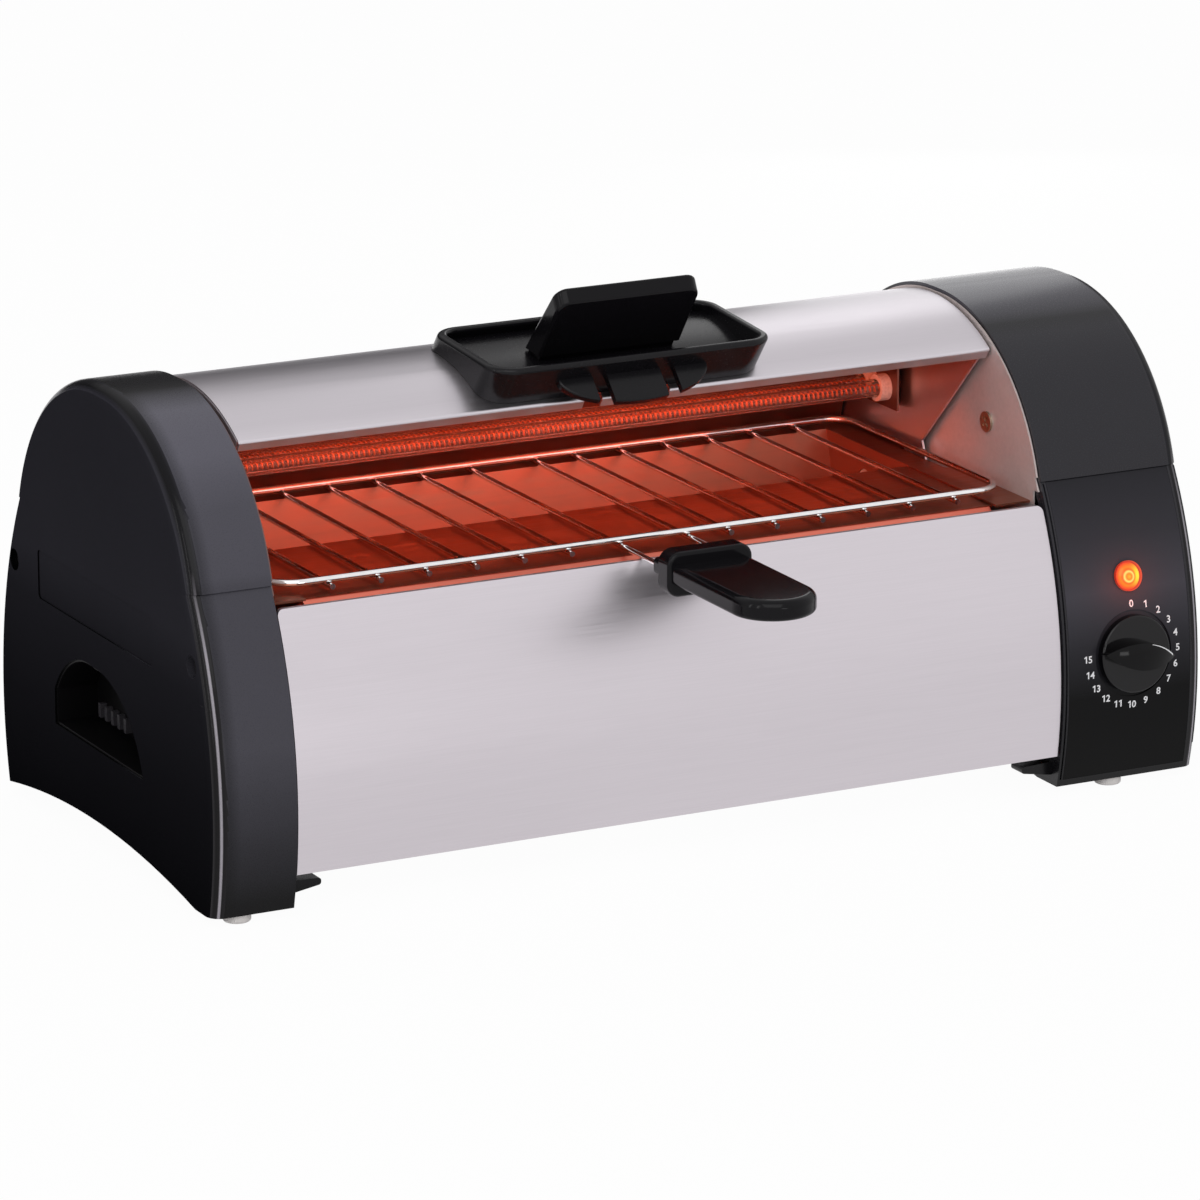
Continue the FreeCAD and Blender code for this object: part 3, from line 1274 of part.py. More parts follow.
def main():
    nodes = {}
    left_cap = left_end_cap()
    right_cap = right_end_cap()
    wall = side_wall()
    pan = base_plate()
    for x, y in base_screw_places():
        hole = rod(V(x, y, tongue_low_z - 5), V(x, y, tongue_top_z + 5), cap_screw_radius + 0.05)
        left_cap = left_cap.cut(hole)
        right_cap = right_cap.cut(hole)
    for x, y in foot_positions():
        seat = Part.makeCylinder(foot_radius + 0.1, 1.0 + foot_sink, V(x, y, -1.0))
        left_cap = left_cap.cut(seat)
        right_cap = right_cap.cut(seat)
    nodes["left_end_cap"] = left_cap
    nodes["right_end_cap"] = right_cap
    panel = control_panel()
    body = timer_body()
    place = panel_place(dial_x, dial_z)
    for side in (-1, 1):
        hole = placed(Part.makeCylinder(1.25, 8.0, V(side * timer_screw_x, 0, -dish_depth - 6.0)), place)
        panel = panel.cut(hole)
        body = body.cut(hole)
    nodes["control_panel"] = panel
    nodes["left_side_wall"] = mirrored_x(wall)
    nodes["right_side_wall"] = wall
    nodes["front_cover"] = front_cover()
    nodes["rear_cover"] = rear_cover()
    nodes["base_plate"] = pan
    nodes["lower_reflector"] = lower_reflector()
    nodes["upper_reflector"] = upper_reflector()
    tube_bore = tube_radius - tube_wall
    upper_end = upper_tube_end_x()
    lower_end = lower_tube_end_x()
    nodes["upper_quartz_tubes"] = tube_row(upper_tube_y, upper_tube_z, upper_end, tube_radius, tube_bore)
    nodes["lower_quartz_tubes"] = tube_row(lower_tube_y, lower_tube_z, lower_end, tube_radius, tube_bore)
    upper_tail = upper_end + terminal_length
    lower_tail = lower_end + terminal_length
    nodes["upper_heating_coils"] = tube_row(upper_tube_y, upper_tube_z, upper_tail, coil_radius)
    nodes["lower_heating_coils"] = tube_row(lower_tube_y, lower_tube_z, lower_tail, coil_radius)
    nodes["upper_tube_holders"] = tube_holders(upper_tube_y, upper_tube_z, tab_inner_x - 0.02,
                                               upper_end, 0.6)
    nodes["lower_tube_holders"] = tube_holders(lower_tube_y, lower_tube_z,
                                               trough_half + sheet + holder_length - 0.2,
                                               lower_end, 0.1)
    nodes["hood_pivot_pins"] = hood_pivot_pins()
    nodes["pivot_spacers"] = pivot_spacers()
    nodes["pivot_nuts"] = pivot_nuts()
    nodes["hood_stop_pads"] = hood_stop_pads()
    skin = hood_sheet()
    for x in tray_screw_places():
        skin = skin.cut(rod(V(x, *polar(hood_radius - 5, -tray_screw_angle)),
                            V(x, *polar(hood_radius + 5, -tray_screw_angle)), 1.55))
    nodes["hood_sheet"] = skin
    plate = hood_end_plate()
    nodes["left_hood_plate"] = mirrored_x(plate)
    nodes["right_hood_plate"] = plate
    nodes["hood_tray"] = hood_tray()
    nodes["tray_screws"] = tray_screws()
    nodes["grip_plate"] = grip_plate()
    nodes["rack_frame"] = rack_frame()
    nodes["rack_cross_wires"] = cross_wires()
    nodes["rack_handle"] = rack_handle()
    nodes["crumb_tray"] = crumb_tray()
    nodes["crumb_tray_grip"] = crumb_tray_grip()
    nodes["timer_knob"] = timer_knob()
    nodes["timer_shaft"] = timer_shaft()
    nodes["timer_body"] = body
    nodes["timer_bell"] = timer_bell()
    nodes["timer_screws"] = timer_screws()
    nodes["lamp_lens"] = lamp_lens()
    nodes["lamp_bulb"] = lamp_bulb()
    nodes["lamp_socket"] = lamp_socket()
    nodes["heat_shield"] = heat_shield()
    nodes["terminal_block"] = terminal_block()
    nodes["thermal_cutout"] = thermal_cutout()
    nodes["cord_inlet"] = cord_inlet()
    nodes["cap_screws"] = cap_screws()
    nodes["wall_screws"] = wall_screws()
    nodes["base_screws"] = base_screws()
    nodes["feet"] = feet()

    middle_x = (left_cap_outer_x + right_cap_outer_x) / 2
    middle_y = (flank_widest_y - paddle_tip_y) / 2
    shift = V(-middle_x, -middle_y, foot_height)
    os.makedirs("parts", exist_ok=True)
    for name, shape in nodes.items():
        if isinstance(shape, list):
            shape = Part.makeCompound(shape)
        shape = shape.copy()
        shape.translate(shift)
        shape.exportStep("parts/" + name + ".step")


main()
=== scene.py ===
import bpy
import bmesh
import math
from mathutils import Matrix, Vector


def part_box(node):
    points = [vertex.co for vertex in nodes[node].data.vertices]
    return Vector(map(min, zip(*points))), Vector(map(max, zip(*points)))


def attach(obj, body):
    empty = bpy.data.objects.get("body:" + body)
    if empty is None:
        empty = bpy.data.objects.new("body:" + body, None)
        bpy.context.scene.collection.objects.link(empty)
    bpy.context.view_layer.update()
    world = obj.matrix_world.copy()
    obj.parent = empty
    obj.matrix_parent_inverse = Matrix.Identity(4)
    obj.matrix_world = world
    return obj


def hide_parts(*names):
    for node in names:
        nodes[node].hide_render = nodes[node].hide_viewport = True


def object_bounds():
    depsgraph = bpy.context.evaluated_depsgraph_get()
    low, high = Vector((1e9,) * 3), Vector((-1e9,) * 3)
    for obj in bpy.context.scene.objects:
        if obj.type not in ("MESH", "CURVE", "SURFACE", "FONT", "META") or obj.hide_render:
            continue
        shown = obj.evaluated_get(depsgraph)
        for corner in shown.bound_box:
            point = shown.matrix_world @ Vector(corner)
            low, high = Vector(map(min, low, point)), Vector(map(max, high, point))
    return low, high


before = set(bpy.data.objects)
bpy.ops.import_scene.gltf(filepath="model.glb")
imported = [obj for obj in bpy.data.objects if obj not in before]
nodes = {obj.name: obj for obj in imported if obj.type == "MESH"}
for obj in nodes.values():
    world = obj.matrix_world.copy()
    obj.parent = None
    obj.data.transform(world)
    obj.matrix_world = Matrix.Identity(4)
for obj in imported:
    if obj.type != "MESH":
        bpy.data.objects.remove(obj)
CAD_BOX = [list(corner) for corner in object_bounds()]

# Looks of a roll toaster: two black end caps, a brushed steel tunnel, a glowing chamber with a
# wire rack, and a timer dial. Z points up, -Y to the front. Lengths that end in _M are in metres,
# all others are millimetres of the drawing.

MM = 0.001

# The drawing's own origin, the middle of the tunnel at the caps' lower edge, in the row frame
ORIGIN = Vector((-0.01475, 0.03625, 0.004))

# Where the camera stands to the drawing's origin, and its lens
CAMERA_TURN = math.radians(27.31792)
CAMERA_RISE = math.radians(15.65378)
CAMERA_BACK, CAMERA_RIGHT, CAMERA_UP = 2570.895, 12.270, 67.415
CAMERA_LENS, CAMERA_SENSOR, CAMERA_REACH_M = 201.31, 36.0, 60.0

# The studio
WHITE = (1, 1, 1, 1)
SOFT_WHITE = (1.0, 0.99, 1.0, 1)
STUDIO_DARK = (0.07, 0.068, 0.072, 1)
FLOOR_GREY = (0.86, 0.86, 0.86, 1)
AMBIENT = 0.55
FLOOR_SHOWN_WHITE = 0.965
FLOOR_IN_REFLECTIONS = 0.95
FLOOR_REACH_M, FLOOR_LOW_M = 12.0, 0.0002

# The curved panel, and what sits on it
FLANK_RADIUS, FLANK_REACH, FLANK_Z = 165.0, 64.5, 36.0
DIAL_X, DIAL_Z = 190.95, 49.3
LAMP_X, LAMP_Z = 190.5, 78.7
LENS_RADIUS_M = 0.00585
BAR_HALF, BAR_WIDE, BAR_TOP, BAR_CROWN = 15.3, 10.5, 9.4, 30.0
MINUTE_TURN = math.radians(18.0)
LAST_MINUTE = 15
REST_TURN = 5.4 * MINUTE_TURN

# The heater coils: where they run, and their wire
COIL_RADIUS_M, COIL_WIRE_M, COIL_PITCH_M, COIL_SIDES = 0.00135, 0.00028, 0.0021, 10
UPPER_COILS = {"y": (23.5, 34.5), "z": 131.3, "end_x": 149.0}
LOWER_COILS = {"y": (-26.0, 26.0), "z": 92.5, "end_x": 146.0}

# The grip pocket of a cap, and the ribs in it: front, rear, low and high
POCKET_REACH = (-38, 47, 34, 68)
RIB_REACH = (11.5, 39, 37.5, 44.2)

# Which faces of a cap get which finish: how far inside its outer side they lie, and how squarely
# they face it
SIDE_DEPTH_M, SIDE_FACING = 0.021, 0.9
RIM_DEPTH_M, RIM_FACING = 0.0068, 0.12
POCKET_DEPTHS_M, RIB_DEPTHS_M = (0.0006, 0.0180), (0.010, 0.0168)

# Grain of the surfaces: noise scales, and depths in metres
SPARK_GRAIN, POLISHED_GRAIN = 2600.0, 900.0
GRAIN_DEPTH_M, STREAK_DEPTH_M, CERAMIC_DEPTH_M = 0.00003, 0.00004, 0.00005

# Painted light and shade on the black mouldings, mostly darker low down and lighter higher up: heights above
# the worktop and greys
CAP_PAINTED_SHADING = [(2, 0.001), (8, 0.003), (18, 0.0155), (28, 0.025), (37, 0.035), (46, 0.043),
             (55, 0.052), (66, 0.061), (121, 0.061), (125, 0.076), (147, 0.080), (155, 0.094),
             (163, 0.118), (180, 0.120)]
RIGHT_CAP_PAINTED_SHADING = [(2, 0.003), (40, 0.012), (95, 0.022), (168, 0.022), (171.5, 0.010),
                   (174, 0.040), (180, 0.080)]
SIDE_PAINTED_SHADE = [(2, 0.004), (46, 0.008), (84, 0.014), (104, 0.023), (150, 0.021)]
PANEL_PAINTED_SHADING = [(4, 0.0005), (38, 0.001), (58, 0.024), (78, 0.058), (98, 0.034), (118, 0.022)]
CAP_TINT = (0.96, 0.93, 1.15)

# Painted shade on the left cap's crown, where it darkens: from this far inside the rim, and behind this
# depth
PAINTED_RIM_SHADE_M, PAINTED_RIM_SHADE_PART = (0.0105, 0.0062), 0.55
PAINTED_CROWN_SHADE_DEPTHS_M, PAINTED_CROWN_SHADE_PART = (-0.029, -0.011), 0.03

# Painted highlight and shade on the caps' rounded rim, from its inner edge (0) to the cap's side (1), low
# down and high up
RIM_WIDTH_M = 0.0062
RIM_CHANGES_M = (0.098, 0.128)
RIM_PAINTED_LIGHT_LOW = [(0.0, 0.020), (0.34, 0.012), (0.44, 0.010), (0.49, 0.34), (0.57, 0.34),
                 (0.63, 0.010), (0.80, 0.006), (0.88, 0.022), (0.95, 0.006)]
RIM_PAINTED_LIGHT_HIGH = [(0.0, 0.026), (0.35, 0.006), (0.70, 0.003), (0.90, 0.030), (1.0, 0.018)]
RIM_TINT_LOW, RIM_TINT_HIGH = (0.96, 0.90, 1.0), (0.96, 0.93, 1.2)

# Colours
GLOSS_BLACK = (0.005, 0.0046, 0.0057)
KNOB_BLACK = (0.003, 0.0028, 0.0034)
KNOB_GRIP_PAINTED_SHADE = (0.002, 0.0018, 0.0022)
COVER_STEEL = (0.600, 0.562, 0.595)
HOOD_STEEL = (0.545, 0.515, 0.545)
HOT_ORANGE = (1.0, 0.12, 0.02)
GLOW_RED = (1.0, 0.14, 0.05)


def place(x, y, z):
    """A point of the drawing, in millimetres, as a point of the row frame."""
    return ORIGIN + Vector((x, y, z)) * MM


def shade(colour, factor):
    return tuple(channel * factor for channel in colour)


def tinted(greys, tint, span=1.0):
    """Stops of a colour ramp from places along a span and their greys."""
    return [(spot / span, shade(tint, grey)) for spot, grey in greys]


def add_object(name, data):
    item = bpy.data.objects.new(name, data)
    bpy.context.scene.collection.objects.link(item)
    return item


def add_node(tree, kind, inputs=None, operation=None):
    """A new shader node. Each input, by name or number, takes a value or another node's output."""
    node = tree.nodes.new("ShaderNode" + kind)
    if operation:
        node.operation = operation
    for key, value in (inputs or {}).items():
        if isinstance(value, bpy.types.NodeSocket):
            tree.links.new(value, node.inputs[key])
        else:
            node.inputs[key].default_value = value
    return node


# Camera, lights and floor

def make_camera():
    right = Vector((math.cos(CAMERA_TURN), -math.sin(CAMERA_TURN), 0))
    back = Vector((-math.sin(CAMERA_TURN) * math.cos(CAMERA_RISE),
                   -math.cos(CAMERA_TURN) * math.cos(CAMERA_RISE), math.sin(CAMERA_RISE)))
    up = back.cross(right)
    spot = ORIGIN + (back * CAMERA_BACK + right * CAMERA_RIGHT + up * CAMERA_UP) * MM
    camera = add_object("camera", bpy.data.cameras.new("camera"))
    camera.data.sensor_width = CAMERA_SENSOR
    camera.data.lens = CAMERA_LENS
    camera.data.clip_end = CAMERA_REACH_M
    camera.matrix_world = Matrix((
        (right.x, up.x, back.x, spot.x),
        (right.y, up.y, back.y, spot.y),
        (right.z, up.z, back.z, spot.z),
        (0, 0, 0, 1)))
    bpy.context.scene.camera = camera


def area_light(name, spot, aim, size, power, colour=(1, 1, 1), size_y=None, hidden=False):
    """A lamp in metres and watts. A hidden one lights the object and isn't seen itself."""
    data = bpy.data.lights.new(name, "AREA")
    data.energy = power
    data.color = colour
    data.size = size
    if size_y:
        data.shape = "RECTANGLE"
        data.size_y = size_y
    lamp = add_object(name, data)
    lamp.location = spot
    lamp.rotation_euler = (Vector(aim) - Vector(spot)).to_track_quat("-Z", "Y").to_euler()
    lamp.visible_camera = not hidden
    return lamp


def studio_lights():
    """Soft light from the front left, a fill, and strips and cards for the black mouldings."""
    middle, dial = (0, 0, 0.08), (0.18, -0.09, 0.055)
    left_cap, right_cap = (-0.2, 0, 0.1), (0.21, 0.03, 0.16)
    area_light("key", (-0.9, -1.9, 1.7), middle, size=2.0, power=21.3)
    area_light("fill", (1.3, -1.2, 0.9), middle, size=1.6, power=0.5)
    area_light("glint", (0.08, -1.49, 0.08), dial, size=0.32, power=0.45, size_y=0.12, hidden=True)
    area_light("strip_front", (-2.30, -1.22, 0.7), left_cap, size=0.16, power=5.0, size_y=1.9)
    area_light("strip_side", (-2.55, -0.30, 0.7), left_cap, size=0.16, power=3.6, size_y=1.9)
    area_light("card_behind", (0.63, 0.84, 0.50), right_cap, size=0.24, power=0.9, size_y=1.0,
               hidden=True)


def ray_mask(tree, path):
    """1 for camera, glossy and transmission rays, 0 for the rest."""
    mask = path.outputs["Is Camera Ray"]
    for name in ("Is Glossy Ray", "Is Transmission Ray"):
        mask = add_node(tree, "Math", {0: mask, 1: path.outputs[name]}, "MAXIMUM").outputs[0]
    return mask


def make_world():
    """White behind the object, an even ambient light, and a plain studio in reflections."""
    world = bpy.data.worlds.new("studio")
    world.use_nodes = True
    tree = world.node_tree
    tree.nodes.clear()
    coords = add_node(tree, "TexCoord")
    split = add_node(tree, "SeparateXYZ", {0: coords.outputs["Generated"]})
    # Reflections: bright in front and overhead, darker low down at the back
    behind = add_node(tree, "MapRange", {"Value": split.outputs["Y"], "From Min": 0.15, "From Max": 0.80})
    low = add_node(tree, "MapRange", {"Value": split.outputs["Z"], "From Min": 0.75, "From Max": 0.30})
    both = add_node(tree, "Math", {0: behind.outputs["Result"], 1: low.outputs["Result"]}, "MULTIPLY")
    ramp = add_node(tree, "ValToRGB", {0: both.outputs[0]})
    for element, position, colour in zip(ramp.color_ramp.elements, (0.0, 1.0), (SOFT_WHITE, STUDIO_DARK)):
        element.position = position
        element.color = colour
    light = add_node(tree, "Background", {"Color": WHITE, "Strength": AMBIENT})
    mirror = add_node(tree, "Background", {"Color": ramp.outputs["Color"], "Strength": 1.0})
    white = add_node(tree, "Background", {"Color": WHITE, "Strength": 1.0})
    path = add_node(tree, "LightPath")
    first = add_node(tree, "MixShader", {0: ray_mask(tree, path), 1: light.outputs[0], 2: mirror.outputs[0]})
    second = add_node(tree, "MixShader", {0: path.outputs["Is Camera Ray"], 1: first.outputs[0],
                                          2: white.outputs[0]})
    add_node(tree, "OutputWorld", {"Surface": second.outputs[0]})
    bpy.context.scene.world = world


def make_floor():
    """A pale floor that the camera sees almost white, with the object's shadow on it."""
    mesh = bpy.data.meshes.new("floor")
    reach, z = FLOOR_REACH_M, -FLOOR_LOW_M
    mesh.from_pydata([(-reach, -reach, z), (reach, -reach, z), (reach, reach, z), (-reach, reach, z)],
                     [], [(0, 1, 2, 3)])
    floor = add_object("floor", mesh)
    material = bpy.data.materials.new("floor_white")
    material.use_nodes = True
    tree = material.node_tree
    tree.nodes.clear()
    diffuse = add_node(tree, "BsdfDiffuse", {"Color": FLOOR_GREY})
    glow = add_node(tree, "Emission", {"Color": WHITE, "Strength": 1.0})
    path = add_node(tree, "LightPath")
    share = add_node(tree, "Math", {0: path.outputs["Is Camera Ray"], 1: FLOOR_SHOWN_WHITE}, "MULTIPLY")
    plain = add_node(tree, "MixShader", {0: share.outputs[0], 1: diffuse.outputs[0], 2: glow.outputs[0]})
    dim = add_node(tree, "Emission", {"Color": SOFT_WHITE, "Strength": FLOOR_IN_REFLECTIONS})
    seen = add_node(tree, "MixShader", {0: path.outputs["Is Glossy Ray"], 1: plain.outputs[0],
                                        2: dim.outputs[0]})
    add_node(tree, "OutputMaterial", {"Surface": seen.outputs[0]})
    mesh.materials.append(material)


# Materials

class Finish:
    """One procedural material about a Principled shader, textured in the object's own space."""

    def __init__(self, name, **values):
        """Values of the shader's own inputs, with _ for each space in their names."""
        self.material = bpy.data.materials.new(name)
        self.material.use_nodes = True
        self.tree = self.material.node_tree
        self.shader = self.tree.nodes["Principled BSDF"]
        self.coords = self.add("TexCoord").outputs["Object"]
        for key, value in values.items():
            self.shader.inputs[key.replace("_", " ")].default_value = value

    def add(self, kind, inputs=None, operation=None):
        return add_node(self.tree, kind, inputs, operation)

    def noise(self, scale, stretch=(1, 1, 1), detail=2.0, rough=0.5):
        mapping = self.add("Mapping", {"Vector": self.coords, "Scale": stretch})
        texture = self.add("TexNoise", {"Vector": mapping.outputs["Vector"], "Scale": scale,
                                        "Detail": detail, "Roughness": rough})
        return texture.outputs[0]

    def axis(self, name):
        """X, Y or Z in the object's own space, in metres."""
        return self.add("SeparateXYZ", {0: self.coords}).outputs[name]

    def from_middle(self):
        """The distance from the middle along X, in metres."""
        return self.add("Math", {0: self.axis("X")}, "ABSOLUTE").outputs[0]

    def between(self, factor, low, high, start=0.3, end=0.7):
        """A number that runs from low to high while the factor runs from start to end."""
        node = self.add("MapRange", {"Value": factor, "From Min": start, "From Max": end,
                                     "To Min": low, "To Max": high})
        return node.outputs["Result"]

    def share(self, factor, start, end):
        """0 to 1 while the factor runs from start to end."""
        return self.between(factor, 0.0, 1.0, start, end)

    def colours(self, factor, stops, socket="Base Color"):
        """A colour ramp, led to a socket of the shader if one is named."""
        ramp = self.add("ValToRGB", {0: factor})
        elements = ramp.color_ramp.elements
        while len(elements) < len(stops):
            elements.new(0.5)
        for element, (position, colour) in zip(elements, stops):
            element.position = position
            element.color = (*colour, 1)
        if socket:
            self.tree.links.new(ramp.outputs["Color"], self.shader.inputs[socket])
        return ramp.outputs["Color"]

    def blend(self, factor, low, high, socket="Base Color", mode="MIX"):
        """Mix two colours, each given as values or as another node's output, by a factor."""
        node = self.tree.nodes.new("ShaderNodeMix")
        node.data_type = "RGBA"
        node.blend_type = mode
        self.tree.links.new(factor, node.inputs["Factor"])
        for name, value in (("A", low), ("B", high)):
            entry = [item for item in node.inputs if item.name == name and item.type == "RGBA"][0]
            if isinstance(value, tuple):
                entry.default_value = (*value, 1)
            else:
                self.tree.links.new(value, entry)
        result = [item for item in node.outputs if item.type == "RGBA"][0]
        self.tree.links.new(result, self.shader.inputs[socket])
        return result

    def faded(self, colour, part):
        """A colour times a number."""
        return self.add("VectorMath", {0: colour, "Scale": part}, "SCALE").outputs[0]

    def rough(self, factor, span):
        self.tree.links.new(self.between(factor, *span), self.shader.inputs["Roughness"])

    def bump(self, factor, strength, distance):
        node = self.add("Bump", {"Height": factor, "Strength": strength, "Distance": distance})
        self.tree.links.new(node.outputs["Normal"], self.shader.inputs["Normal"])

    def grain(self, scale, rough, bump):
        """A fine grain in roughness and relief."""
        fine = self.noise(scale, detail=3.0)
        self.rough(fine, rough)
        self.bump(fine, bump, GRAIN_DEPTH_M)


def brushed(name, colour, rough, bump, streak=1, scale=30.0, contrast=0.06, metallic=1.0, foot=None):
    """Bare metal, with streaks along X that are this many times as long as they are wide.

    With a foot it is lighter low down, as painted light: by how much, and the two heights that this runs
    between."""
    finish = Finish(name, Metallic=metallic)
    streaks = finish.noise(scale, (1, streak, streak), 4.0, 0.65)
    dark, light = 1 - contrast, 1 + contrast
    tone = finish.colours(streaks, [(0.30, shade(colour, dark)), (0.72, shade(colour, light))])
    if foot:
        lift, low_z, high_z = foot
        lower = finish.colours(streaks, [(0.30, shade(colour, lift * dark)),
                                         (0.72, shade(colour, lift * light))], None)
        finish.blend(finish.share(finish.axis("Z"), low_z * MM, high_z * MM), lower, tone)
    finish.rough(streaks, rough)
    finish.bump(streaks, bump, STREAK_DEPTH_M)
    return finish.material


def moulded(name, colour, rough, specular, scale=SPARK_GRAIN, bump=0.25):
    """Moulded plastic or rubber: a fine grain and a slow change of tone."""
    finish = Finish(name, Specular_IOR_Level=specular)
    slow = finish.noise(16.0, detail=3.0)
    finish.colours(slow, [(0.3, shade(colour, 0.86)), (0.7, shade(colour, 1.14))])
    finish.grain(scale, rough, bump)
    return finish.material


def polished(name, colour, rough, specular, bump=0.04):
    return moulded(name, colour, rough, specular, POLISHED_GRAIN, bump)


def graded(name, greys, rough, specular, scale=SPARK_GRAIN, bump=0.25, rim_x=None):
    """Moulded black with painted light and shade: its tone changes with height.

    With the X of its rim, painted shade also darkens it towards the rim and behind the crown."""
    finish = Finish(name, Specular_IOR_Level=specular)
    top = greys[-1][0]
    tone = finish.colours(finish.share(finish.axis("Z"), 0.0, top * MM), tinted(greys, CAP_TINT, top), None)
    if rim_x:
        near = finish.share(finish.from_middle(), *(rim_x - inside for inside in PAINTED_RIM_SHADE_M))
        behind = finish.share(finish.axis("Y"), *(ORIGIN.y + depth for depth in PAINTED_CROWN_SHADE_DEPTHS_M))
        for dark, part in ((near, PAINTED_RIM_SHADE_PART), (behind, PAINTED_CROWN_SHADE_PART)):
            tone = finish.blend(dark, tone, finish.faded(tone, part))
    slow = finish.noise(16.0, detail=3.0)
    veil = finish.colours(slow, [(0.3, shade((1, 1, 1), 0.90)), (0.7, (1.0, 1.0, 1.0))], None)
    finish.blend(finish.between(slow, 0.8, 1.0), tone, veil, mode="MULTIPLY")
    finish.grain(scale, rough, bump)
    return finish.material


def cap_edge(name, face_x):
    """The caps' rounded rim, with a painted highlight along the crown of its curve and painted shade beside
    it.
    """
    finish = Finish(name, Specular_IOR_Level=0.12)
    across = finish.share(finish.from_middle(), face_x - RIM_WIDTH_M, face_x)
    low_tone = finish.colours(across, tinted(RIM_PAINTED_LIGHT_LOW, RIM_TINT_LOW), None)
    high_tone = finish.colours(across, tinted(RIM_PAINTED_LIGHT_HIGH, RIM_TINT_HIGH), None)
    finish.blend(finish.share(finish.axis("Z"), *RIM_CHANGES_M), low_tone, high_tone)
    finish.grain(POLISHED_GRAIN, (0.14, 0.20), 0.05)
    return finish.material


def ceramic(name, colour):
    finish = Finish(name)
    spots = finish.noise(900.0, detail=4.0)
    finish.colours(spots, [(0.35, shade(colour, 0.82)), (0.6, colour)])
    finish.rough(spots, (0.55, 0.75))
    finish.bump(spots, 0.3, CERAMIC_DEPTH_M)
    return finish.material


def glowing_wire(name, colour, strength):
    """Resistance wire at orange heat, a little uneven along its length."""
    finish = Finish(name, Roughness=0.6, Emission_Strength=strength)
    wave = finish.noise(60.0)
    finish.colours(wave, [(0.2, shade(colour, 0.9)), (0.8, colour)], "Emission Color")
    finish.colours(wave, [(0.2, (0.30, 0.10, 0.05)), (0.8, (0.42, 0.16, 0.08))])
    return finish.material


def quartz_glass(name):
    """Milky quartz round the coil."""
    finish = Finish(name, Transmission_Weight=0.97, IOR=1.18)
    cloud = finish.noise(120.0, (0.3, 1, 1), 3.0)
    finish.colours(cloud, [(0.3, (0.86, 0.74, 0.68)), (0.7, (0.95, 0.88, 0.84))])
    finish.rough(cloud, (0.03, 0.08))
    return finish.material


def lamp_plastic(name, centre):
    """Orange lens: a red rim, a pale ring round the middle, and a bright crescent on the right."""
    finish = Finish(name, Specular_IOR_Level=0.25, Emission_Strength=0.9)
    aside = Vector((-0.6, 0, 0.6)) * MM
    shift = finish.add("VectorMath", {0: finish.coords, 1: centre + aside}, "SUBTRACT")
    flat = finish.add("VectorMath", {0: shift.outputs[0], 1: (1.0, 0.0, 1.0)}, "MULTIPLY")
    length = finish.add("VectorMath", {0: flat.outputs[0]}, "LENGTH")
    reach = finish.share(length.outputs["Value"], 0.0, LENS_RADIUS_M)
    glow = finish.colours(reach, [
        (0.0, (1.0, 0.55, 0.03)), (0.20, (0.95, 0.25, 0.015)), (0.33, (1.0, 0.90, 0.20)),
        (0.44, (0.90, 0.14, 0.010)), (0.60, (0.95, 0.26, 0.010)), (0.84, (0.70, 0.05, 0.008)),
        (0.90, (0.35, 0.02, 0.008)), (1.0, (0.55, 0.08, 0.03))], None)
    ring = finish.colours(reach, tinted([(0.42, 0), (0.58, 1), (0.80, 1), (0.90, 0)], (1, 1, 1)), None)
    # The crescent: a wide ring, kept where the way out from the middle points to the right
    way = finish.add("VectorMath", {0: flat.outputs[0]}, "NORMALIZE")
    along = finish.add("SeparateXYZ", {0: way.outputs[0]})
    narrow = finish.add("Math", {0: along.outputs["X"], 1: 2.6}, "POWER")
    crescent = finish.add("Math", {0: ring, 1: narrow.outputs[0]}, "MULTIPLY")
    finish.blend(crescent.outputs[0], glow, (1.0, 0.90, 0.03), "Emission Color")
    grain = finish.noise(700.0)
    finish.colours(grain, [(0.3, (0.16, 0.010, 0.005)), (0.7, (0.22, 0.018, 0.007))])
    finish.rough(grain, (0.10, 0.22))
    return finish.material


def paint_material(name, colour):
    finish = Finish(name)
    grain = finish.noise(1800.0)
    finish.colours(grain, [(0.3, shade(colour, 0.94)), (0.7, colour)])
    finish.rough(grain, (0.45, 0.6))
    return finish.material


def dress(names, material):
    """The main finish of each named solid."""
    for name in names:
        slots = nodes[name].material_slots
        if slots:
            slots[0].material = material
        else:
            nodes[name].data.materials.append(material)


def split_faces(name, material, wanted):
    """A second finish on the faces of a node that pass a test of their centre and direction."""
    mesh = nodes[name].data
    mesh.materials.append(material)
    index = len(mesh.materials) - 1
    for polygon in mesh.polygons:
        if wanted(polygon.center, polygon.normal):
            polygon.material_index = index


def within(point, front_y, rear_y, low_z, high_z):
    """Whether a point lies between two depths and two heights of the drawing."""
    low, high = place(0, front_y, low_z), place(0, rear_y, high_z)
    return low.y < point.y < high.y and low.z < point.z < high.z


